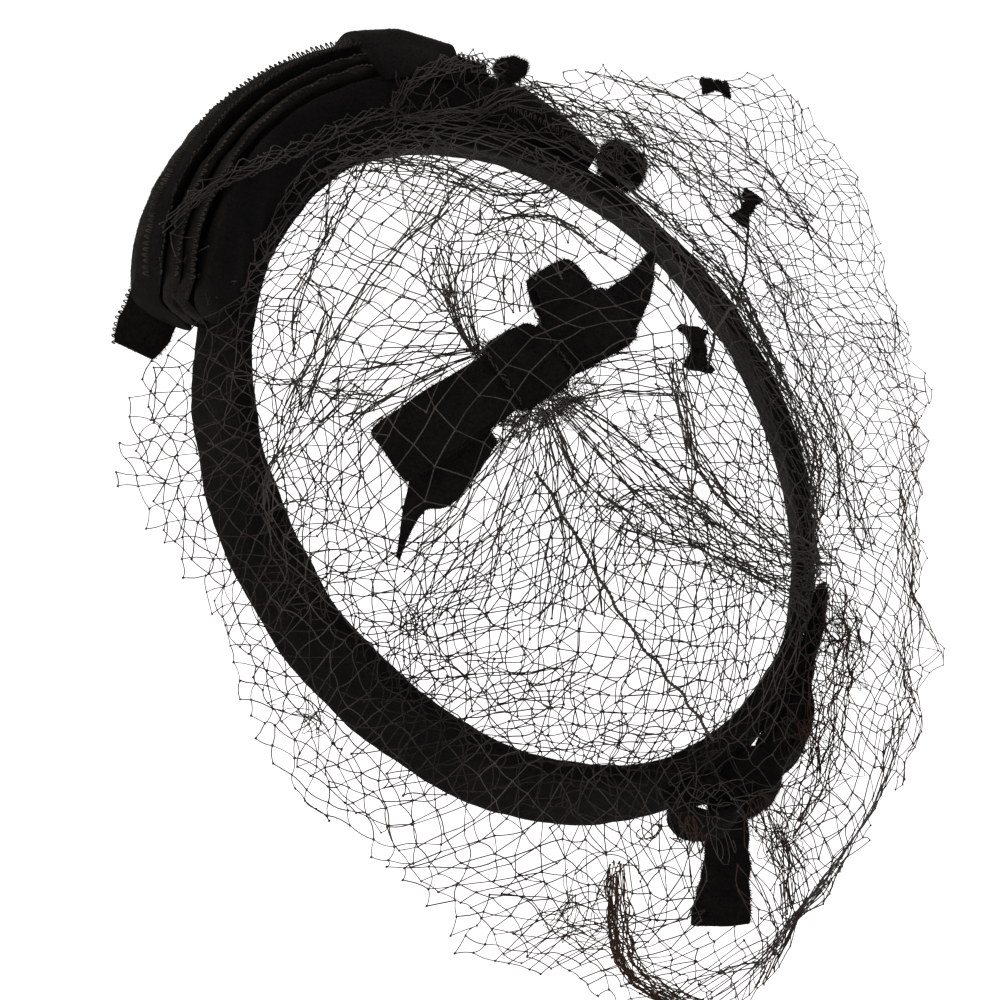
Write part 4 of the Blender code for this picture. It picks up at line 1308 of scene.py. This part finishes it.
HUNG_NETS = [
    # low line, high line, cells along, cells up, swell, seed
    (RUFFLE_FOOT, RUFFLE_ARCH, 13, 5, 1.6, 381),
    (RUFFLE_BORDER, RUFFLE_ARCH, 15, 5, 0.5, 383),
    (RUFFLE_BORDER, RUFFLE_ARCH, 11, 4, 1.2, 384),
    (RIM_INSIDE, RIM_OUTSIDE, 14, 5, 0.6, 385),
    (RIM_INSIDE, RIM_OUTSIDE, 10, 4, 1.2, 387),
    (STRANDS_LOW, STRANDS_HIGH, 5, 2, 1.8, 389),
]
CURLS = [
    # p, q, reach, threads, lift, seed
    (63, 34, 4, 5, 1.2, 331),
    (94, 46, 4, 6, 2, 332),
    (15, 3.5, 4.5, 46, 1.4, 333),
    (21, 4.6, 3.5, 40, 1.8, 334),
    (26.5, 4.6, 3, 34, 1.8, 340),
    (30, 6, 2.4, 12, 1.2, 342),
    (26, -14.2, 2.4, 16, 1.6, 344),
    (9, 3, 5, 16, 0.8, 339),
    (2, 16, 7, 12, 0.8, 335),
    (-57, -70, 8, 16, 2, 336),
    (-96, -6, 9, 16, 3, 337),
    (16, 112, 7, 12, 4, 338),
]
# The brown rolled edge on the wearer's right, and the brown roll at the back.
BROWN_EDGE = [(-56, 82, 5), (-47, 93, 5), (-32, 104, 4), (-19, 113, 4), (-2, 121, 4)]
BROWN_ROLL = [(40, 112, 2.2), (42, 124, 2.6), (41, 141, 2.8), (33, 158, 3.2), (22, 176, 3.6)]
BROWN_FOLDS = [
    # line, columns, lift, seed, step, rough, bend
    (BROWN_EDGE, 16, 3.0, 341, 6.5, 2.2, 0.16),
    (BROWN_ROLL, 34, 2.0, 343, 5.0, 1.0, 0.1),
    ([(1, 114, 2.6), (4, 124, 2.6), (6, 137, 2.2)], 14, 3.0, 348, 6.0, 1.8, 0.16),
    ([(13, 126, 3), (8, 150, 3), (2, 184, 3)], 5, 2.0, 345, 8.0, 1.0, 0.06),
    ([(0, 124, 2), (-3, 150, 2), (-3, 185, 3)], 5, 2.0, 347, 8.0, 1.0, 0.06),
]
BROWN_CURLS = [
    # p, q, reach, threads, lift, seed, and radius where it isn't as usual
    (50, 116, 8, 16, 3, 349),
    (30, 107, 4, 4, 2, 351, 0.17),
    (21, 113, 4, 9, 3, 352, 0.17),
    (-46, 92, 9, 26, 3, 350),
    (-22, 110, 8, 20, 3, 353),
    (3, 124, 6, 14, 3, 354),
]
# The two thick gathering threads, as (p, q) rows.
LONG_STRING = [(27, 15), (25.5, 26), (24.5, 37), (23, 46), (19.5, 58), (15.5, 69), (5, 92)]
SIDE_STRING = [(-94, -47), (-93, -31), (-78, -12), (-40, -2), (-23, 9)]


def to_line(places, line):
    """For each place, the offset from the nearest point of a line, and the line's width."""
    rows = through(line, 40)
    offset = places[:, None, :] - rows[None, :, :2]
    nearest = np.argmin(np.linalg.norm(offset, axis=2), axis=1)
    return offset[np.arange(len(places)), nearest], rows[nearest, 2]


def gather_and_fold(places, gathers, folds, pull):
    """The flat net's places after it is drawn together and folded."""
    places = places.copy()
    for p, q, reach, strength in gathers:
        offset = places - (p, q)
        places -= offset * (strength * nearness(offset, reach))[:, None]
    for line in folds:
        offset, width = to_line(places, line)
        places -= offset * (pull * nearness(offset, 2.0 * width + 3.0))[:, None]
    return places


def spans(places, pairs):
    """The distance between the two knots of each pair."""
    return np.linalg.norm(places[pairs[:, 1]] - places[pairs[:, 0]], axis=1)


def only(places, pairs, chosen):
    """The chosen places, by number, and the pairs that lie wholly among them."""
    renumber = np.full(len(places), -1)
    renumber[chosen] = np.arange(len(chosen))
    pairs = renumber[pairs]
    return places[chosen], pairs[(pairs >= 0).all(axis=1)]


def settle(places, pairs, rest):
    """The knots after a few rounds that pull overlong threads back towards their rest."""
    places = places.copy()
    degree = np.bincount(pairs.ravel(), minlength=len(places))[:, None]
    for _ in range(SETTLE_ROUNDS):
        span = places[pairs[:, 1]] - places[pairs[:, 0]]
        length = np.linalg.norm(span, axis=1)
        excess = np.maximum(length - rest, 0.0) / np.maximum(length, 1e-6) * 0.5
        move = span * excess[:, None]
        total = np.zeros_like(places)
        np.add.at(total, pairs[:, 0], move)
        np.add.at(total, pairs[:, 1], -move)
        places += total / np.maximum(degree, 1) * SETTLE_STRIDE
    return places


def draw_threads(piece, knots, normals, pairs, rest, seed, bend):
    """The net's threads between their knots: nearly straight, or bowed where they are slack.

    A thread that is spare longer than its span stands out by sqrt(3/8 spare span).
    """
    random = np.random.default_rng(seed)
    start, end = knots[pairs[:, 0]], knots[pairs[:, 1]]
    away = unit(normals[pairs[:, 0]] + normals[pairs[:, 1]])
    span = np.linalg.norm(end - start, axis=1)
    spare = np.clip(rest - span, 0.0, 0.2 * rest)
    slack = SLACK_SHOWN * np.sqrt(0.375 * spare * span)
    bow = bend * span * random.exponential(1.0, len(pairs)) + slack
    bow = np.minimum(bow, MOST_BOW * span)
    side = unit(np.cross(end - start, away))
    turn = random.normal(0.0, 0.7, len(pairs)) + math.pi * random.integers(0, 2, len(pairs))
    push = (side * np.cos(turn)[:, None] + away * (0.45 * np.sin(turn))[:, None]) * bow[:, None]
    lean = random.uniform(-0.35, 0.35, (len(pairs), 1, 1))
    thick = THREAD_RADIUS * random.uniform(0.82, 1.2, (len(pairs), 1))
    curved = bow > CURVED * span
    for chosen, points in ((curved, 5), (~curved, 3)):
        t = np.linspace(0.0, 1.0, points)[None, :, None]
        paths = start[chosen, None] * (1 - t) + end[chosen, None] * t
        arc = 4 * t * (1 - t) * (1 + lean[chosen] * (2 * t - 1))
        paths = paths + push[chosen, None] * arc
        piece.tubes(paths, away[chosen, None], thick[chosen], 3)


def knotted(piece, knots, normals, pairs, rest, seed, bend):
    """The threads of a run of net and the knots they meet in."""
    draw_threads(piece, knots, normals, pairs, rest, seed, bend)
    piece.blobs(knots[np.unique(pairs)], KNOT_SIZE * FOLD_KNOT, seed + 1)


def net_layer(
    name, spacing, turn, lift, seed, discs, wave, hem=0.985, jitter=0.15, bend=0.02,
    stretch=(1.0, 1.0), folds=(), gathers=(), pull=0.5, over_bow=False, material=DARK_THREAD,
    with_pieces=(),
):
    """One layer of the knotted net, laid on the veil's surface; its cells are diamonds.

    It covers the discs, each (p, q, radius), as far as hem, a share of the way to the hem.
    """
    random = np.random.default_rng(seed)
    many = int(NET_REACH / spacing / min(stretch))
    steps = np.arange(-many, many + 1)
    ranks = np.stack(np.meshgrid(steps, steps, indexing="ij"), axis=-1)
    lattice = np.stack([ranks[..., 0] - ranks[..., 1], ranks[..., 0] + ranks[..., 1]], axis=-1)
    lattice = lattice * spacing * math.sqrt(0.5) * stretch + random.uniform(0.0, spacing, 2)
    angle = math.radians(turn)
    heading = np.array([[math.cos(angle), math.sin(angle)], [-math.sin(angle), math.cos(angle)]])
    flat = lattice.reshape(-1, 2) @ heading
    warp = [
        sum(wander(flat, seed + axis + more, length, amount) for length, amount, more in WARPS)
        for axis in (1, 2)
    ]
    flat = flat + np.column_stack(warp) + random.normal(0.0, jitter * spacing, flat.shape)
    size = len(steps)
    index = np.arange(size * size).reshape(size, size)
    sides = [(index[:-1], index[1:]), (index[:, :-1], index[:, 1:])]
    pairs = np.concatenate([np.stack(side, -1).reshape(-1, 2) for side in sides])
    close = np.zeros(len(flat), bool)
    for p, q, radius in discs:
        close |= np.linalg.norm(flat - (p, q), axis=1) < radius + NET_MARGIN
    flat, pairs = only(flat, pairs, np.flatnonzero(close))
    ragged = wander(flat, seed + 3, 38.0, RAGGED)
    inside = np.zeros(len(flat), bool)
    for p, q, radius in discs:
        inside |= np.linalg.norm(flat - (p, q), axis=1) + ragged < radius
    inside &= veil_place(flat)[1] < hem + HEM_RAGGED * ragged / RAGGED
    offset, width = to_line(flat[pairs].mean(axis=1), TAIL_STRIP)
    clear = np.linalg.norm(offset, axis=1) > width
    keep = inside[pairs].all(axis=1) & clear & (random.random(len(pairs)) > TORN)
    pairs = pairs[keep]
    degree = np.bincount(pairs.ravel(), minlength=len(flat))
    pairs = pairs[(degree[pairs] > 1).all(axis=1)]
    flat, pairs = only(flat, pairs, np.unique(pairs))
    rest = 0.6 * spans(flat, pairs) + 0.4 * spacing
    rest = rest * (1.0 + 0.02 * random.uniform(0.0, 2.0, len(pairs)))
    cells = len(flat) * spacing**2 * stretch[0] * stretch[1] * MM**2
    spread = np.ptp(flat @ heading.T, axis=0)
    flat = gather_and_fold(flat, gathers, folds, pull)
    flat = settle(flat, pairs, rest)
    rise = lift + wander(flat, seed + 4, RISE_WAVELENGTH, wave)
    rise = rise + random.normal(0.0, RISE_JITTER, len(flat))
    for line in folds:
        offset, width = to_line(flat, line)
        rise = rise + FOLD_LIFT * nearness(offset, 1.2 * width)
    if over_bow:
        rise = rise + lift_over_bow(on_veil(flat)[0][:, :2])
    knots, normals = on_veil(flat, np.maximum(rise, LEAST_LIFT))
    piece = Piece(name)
    draw_threads(piece, knots, normals, pairs, rest, seed + 5, bend)
    piece.blobs(knots, KNOT_SIZE, seed + 6)
    made = piece.finish(material, slot="netting", nodes=("veil",))
    width = math.sqrt(cells * spread[0] / spread[1])


def bundle(piece, line, columns, lift, seed, step=5.0, rough=1.0, bend=0.02):
    """A run of net drawn out along a line: long diamonds, staggered from row to row."""
    random = np.random.default_rng(seed)
    many = max(int(step_lengths(np.array(line, float)[:, :2]).sum() / step), 4)
    rows = through(line, many)
    ahead = headings_of(rows[:, :2])
    aside = np.column_stack([-ahead[:, 1], ahead[:, 0]])
    across = np.sort(random.uniform(-1.0, 1.0, columns))
    pitch = 2.0 / columns
    offset = across[None, :] + random.normal(0.0, 0.55 * pitch * rough, (many, columns))
    places = rows[:, None, :2] + aside[:, None] * (offset * rows[:, 2:3])[..., None]
    places = places + ahead[:, None] * random.normal(0.0, 0.24 * step, (many, columns, 1))
    rise = lift + random.uniform(0.0, 1.6 * rough, (many, columns)) * (1.0 - 0.6 * across**2)
    knots, normals = on_veil(places.reshape(-1, 2), np.maximum(rise, 0.2).ravel())
    pairs = []
    for row in range(many - 1):
        for column in range(row % 2, columns, 2):
            for other in (column - 1, column + 1):
                if 0 <= other < columns and random.random() < 1.0 - FOLD_TORN:
                    pairs.append((row * columns + column, (row + 1) * columns + other))
        for column in (0, columns - 1):
            if column % 2 == row % 2 and row + 2 < many:
                pairs.append((row * columns + column, (row + 2) * columns + column))
    pairs = np.array(pairs)
    knotted(piece, knots, normals, pairs, spans(knots, pairs), seed + 1, bend)


def curls(piece, p, q, reach, many, lift, seed, radius=CURL_RADIUS):
    """A few loose curly threads."""
    random = np.random.default_rng(seed)
    turn = np.linspace(0.0, 1.0, 14)
    for _ in range(many):
        start = np.array([p, q]) + random.normal(0.0, reach * 0.5, 2)
        phases = random.uniform(0.0, 6.3, (2, 3))
        sizes = reach * random.uniform(0.12, 0.5, (2, 3))
        rounds = np.arange(1, 4)[None, :] * random.uniform(1.5, 3.0)
        wave = [
            (sizes[k] * np.sin(turn[:, None] * rounds + phases[k])).sum(axis=1) for k in (0, 1)
        ]
        heights = lift + 1.6 + 1.4 * np.sin(turn * random.uniform(3.0, 9.0) + phases[0, 0])
        path, normals = on_veil(start + np.column_stack(wave), heights)
        piece.tubes(path[None], normals[None], radius, 3)


def thick_thread(piece, line, lift, seed):
    """Two plies of thick thread twisted together, laid along a line on the net."""
    rows = through(line, PLY_POINTS)
    wobble = np.column_stack([wander(rows, seed, 11.0, 0.35), wander(rows, seed + 1, 9.0, 0.35)])
    path, normals = on_veil(rows + wobble, lift + wander(rows, seed + 2, 17.0, 0.4))
    side = np.cross(headings_of(path), normals)
    travel = np.arange(PLY_POINTS) / PLY_POINTS * step_lengths(path).sum()
    for ply in (0.0, math.pi):
        turn = (travel / PLY_TWIST * 2 * math.pi + ply)[:, None]
        strand = path + (side * np.cos(turn) + normals * np.sin(turn)) * PLY_OFF
        piece.tubes(strand[None], normals[None], PLY_RADIUS, 6)
    random = np.random.default_rng(seed + 3)
    picks = random.integers(0, PLY_POINTS, PLY_POINTS)
    piece.spikes(path[picks], random.normal(size=(PLY_POINTS, 3)), 0.9, 0.05)


def hung_net(piece, low, high, along, up, swell, seed):
    """A run of diamond net hung between two lines on the coronet."""
    random = np.random.default_rng(seed)
    low, high = (on_band(*through(line, 2 * along + 1).T) for line in (low, high))
    share = np.linspace(0.0, 1.0, up + 1)[None, :, None]
    out = unit(np.cross(np.gradient(low, axis=0), high - low))
    knots = low[:, None] * (1 - share) + high[:, None] * share
    knots = knots + out[:, None] * np.sin(math.pi * share) * swell
    spread = np.linalg.norm(high - low, axis=1).mean() / up
    ahead = np.gradient(low, axis=0)[:, None]
    knots = knots + ahead * random.normal(0.0, 0.35, knots.shape[:2] + (1,))
    knots = (knots + random.normal(0.0, 0.28 * spread, knots.shape)).reshape(-1, 3)
    normals = np.repeat(out, up + 1, axis=0)
    pairs = np.array([
        (i * (up + 1) + j, other * (up + 1) + j + 1)
        for i in range(2 * along + 1)
        for j in range(up)
        for other in (i - 1, i + 1)
        if (i + j) % 2 == 0 and 0 <= other <= 2 * along
    ])
    knotted(piece, knots, normals, pairs, spans(knots, pairs) * HUNG_SLACK, seed + 1, HUNG_BEND)


def net_folds():
    """The net's folds and gathers, its brown rolled edge and its two gathering threads."""
    folds = Piece("net_folds")
    for row in FOLDS:
        bundle(folds, *row)
    for row in HUNG_NETS:
        hung_net(folds, *row)
    for row in CURLS:
        curls(folds, *row)
    brown = Piece("net_rolled_edge")
    for row in BROWN_FOLDS:
        bundle(brown, *row)
    for row in BROWN_CURLS:
        curls(brown, *row)
    strings = Piece("gathering_threads")
    thick_thread(strings, LONG_STRING, 2.0, 361)
    thick_thread(strings, SIDE_STRING, 2.6, 365)
    # The folds and the gathering threads use the thread painted lighter, as if lit from above.
    return [
        piece.finish(material, slot="netting", nodes=("veil",))
        for piece, material in ((folds, PAINTED_LIT_THREAD), (brown, BROWN_THREAD), (strings, PAINTED_LIT_THREAD))
    ]


def the_net():
    """The net veil: overlapping layers of one knotted net, with its folds and loose threads."""
    # The layers that lie over the bows and the coronet use the thread painted lighter, as if lit
    # from above; the others use the net's own dark thread.
    net_layer(
        "net_over_all", 5.4, 62.0, 1.3, 201, [(0, 0, 400)], hem=1.0, wave=0.9, folds=LEFT_FOLDS,
        gathers=GATHERS[2:], pull=0.4, over_bow=True, material=PAINTED_LIT_THREAD, with_pieces=net_folds(),
    )
    net_layer(
        "net_right_fine", 3.95, 105.0, 0.7, 211, [(-10, 66, 42), (-34, 72, 30)], wave=0.6,
        jitter=0.08, bend=0.035, folds=RIGHT_FOLDS, pull=0.4,
    )
    net_layer(
        "net_right_long", 4.5, 130.0, 0.9, 216, [(-34, 30, 36), (-60, 4, 30), (-66, 34, 26)],
        wave=0.6, jitter=0.10, stretch=(1.30, 0.55), folds=[SIDE_FOLD], pull=0.4,
    )
    net_layer(
        "net_back_left", 4.4, 38.0, 0.9, 221, [(46, 30, 36), (66, 8, 29)], wave=0.7, jitter=0.16,
        stretch=(1.22, 0.70), gathers=GATHERS, bend=0.03,
    )
    net_layer(
        "net_back_low", 4.3, 111.0, 0.8, 226, [(28, 60, 42), (54, 60, 32)], wave=0.7, jitter=0.10,
        bend=0.06, gathers=GATHERS[2:],
    )
    net_layer(
        "net_front", 5.5, 80.0, 1.0, 231, [(30, -55, 46), (64, -24, 34), (0, -72, 34)], wave=0.9,
        jitter=0.20, folds=LEFT_FOLDS + [TOP_FOLD], gathers=GATHERS[:1], pull=0.5, over_bow=True,
        material=PAINTED_LIT_THREAD,
    )
    net_layer(
        "net_front_tall", 5.2, 76.0, 1.2, 236, [(-4, -40, 27), (-24, -30, 20), (10, -66, 20)],
        wave=0.7, jitter=0.14, stretch=(1.28, 0.60), bend=0.03, over_bow=True, material=PAINTED_LIT_THREAD,
    )
    net_layer(
        "net_left_skirt", 5.6, 20.0, 1.6, 239, [(92, -22, 44), (88, 40, 46), (56, 96, 44)],
        hem=1.055, wave=1.2, jitter=0.18, gathers=GATHERS[2:],
    )
    net_layer(
        "net_far_side", 6.0, 121.0, 2.4, 241, [(-84, -44, 50), (-118, -8, 44), (-70, -20, 30)],
        wave=2.2, jitter=0.18, stretch=(1.2, 0.9),
    )
    net_layer(
        "net_far_back", 5.2, 80.0, 3.0, 251, [(-112, 62, 56), (-66, 112, 40)], wave=3.4,
        jitter=0.26, bend=0.07, material=BROWN_THREAD,
    )
    net_layer(
        "net_behind", 6.2, 65.0, 2.0, 261, [(12, 150, 50), (40, 128, 34)], wave=2.8, jitter=0.26,
        bend=0.05, stretch=(0.9, 1.25),
    )


# ---------------------------------------------------------------- stage

FLOOR_UP = -0.42
FLOOR_HALF = 6


def stage():
    """A plain pale floor and soft studio light."""
    data = bpy.data.meshes.new("floor")
    corners = [(x * FLOOR_HALF, y * FLOOR_HALF, 0) for x, y in ((-1, -1), (1, -1), (1, 1), (-1, 1))]
    data.from_pydata(corners, [], [(0, 1, 2, 3)])
    floor = placed("floor", data)
    floor.location.z = FLOOR_UP
    paint = bpy.data.materials.new("floor_paint")
    paint.use_nodes = True
    shader = paint.node_tree.nodes["Principled BSDF"]
    shader.inputs["Base Color"].default_value = (0.93, 0.93, 0.925, 1.0)
    shader.inputs["Roughness"].default_value = 0.9
    data.materials.append(paint)
    world = bpy.data.worlds.new("studio")
    world.use_nodes = True
    background = world.node_tree.nodes["Background"]
    background.inputs["Color"].default_value = (1.0, 1.0, 1.0, 1.0)
    background.inputs["Strength"].default_value = 0.75
    bpy.context.scene.world = world
    for name, place, size, power, tint in (
        ("key", (0.9, 0.2, 1.3), 1.2, 26.0, (1.0, 0.96, 0.92)),
        ("fill", (-1.0, 0.9, 1.2), 1.6, 14.0, (0.93, 0.97, 1.0)),
        ("front", (0.2, -1.4, 0.9), 1.4, 10.0, (1.0, 1.0, 1.0)),
    ):
        light = bpy.data.lights.new(name, "AREA")
        light.size = size
        light.energy = power
        light.color = tint
        lamp = placed(name, light)
        lamp.location = place
        lamp.rotation_euler = (-Vector(place)).to_track_quat("-Z", "Y").to_euler()
    bpy.context.scene.view_settings.view_transform = "Standard"


head_band()
coronet()
small_trims()
crown_bow()
back_bow()
for number, row in enumerate(VEIL_BOWS, 1):
    veil_bow(number, *row)
the_net()
stage()
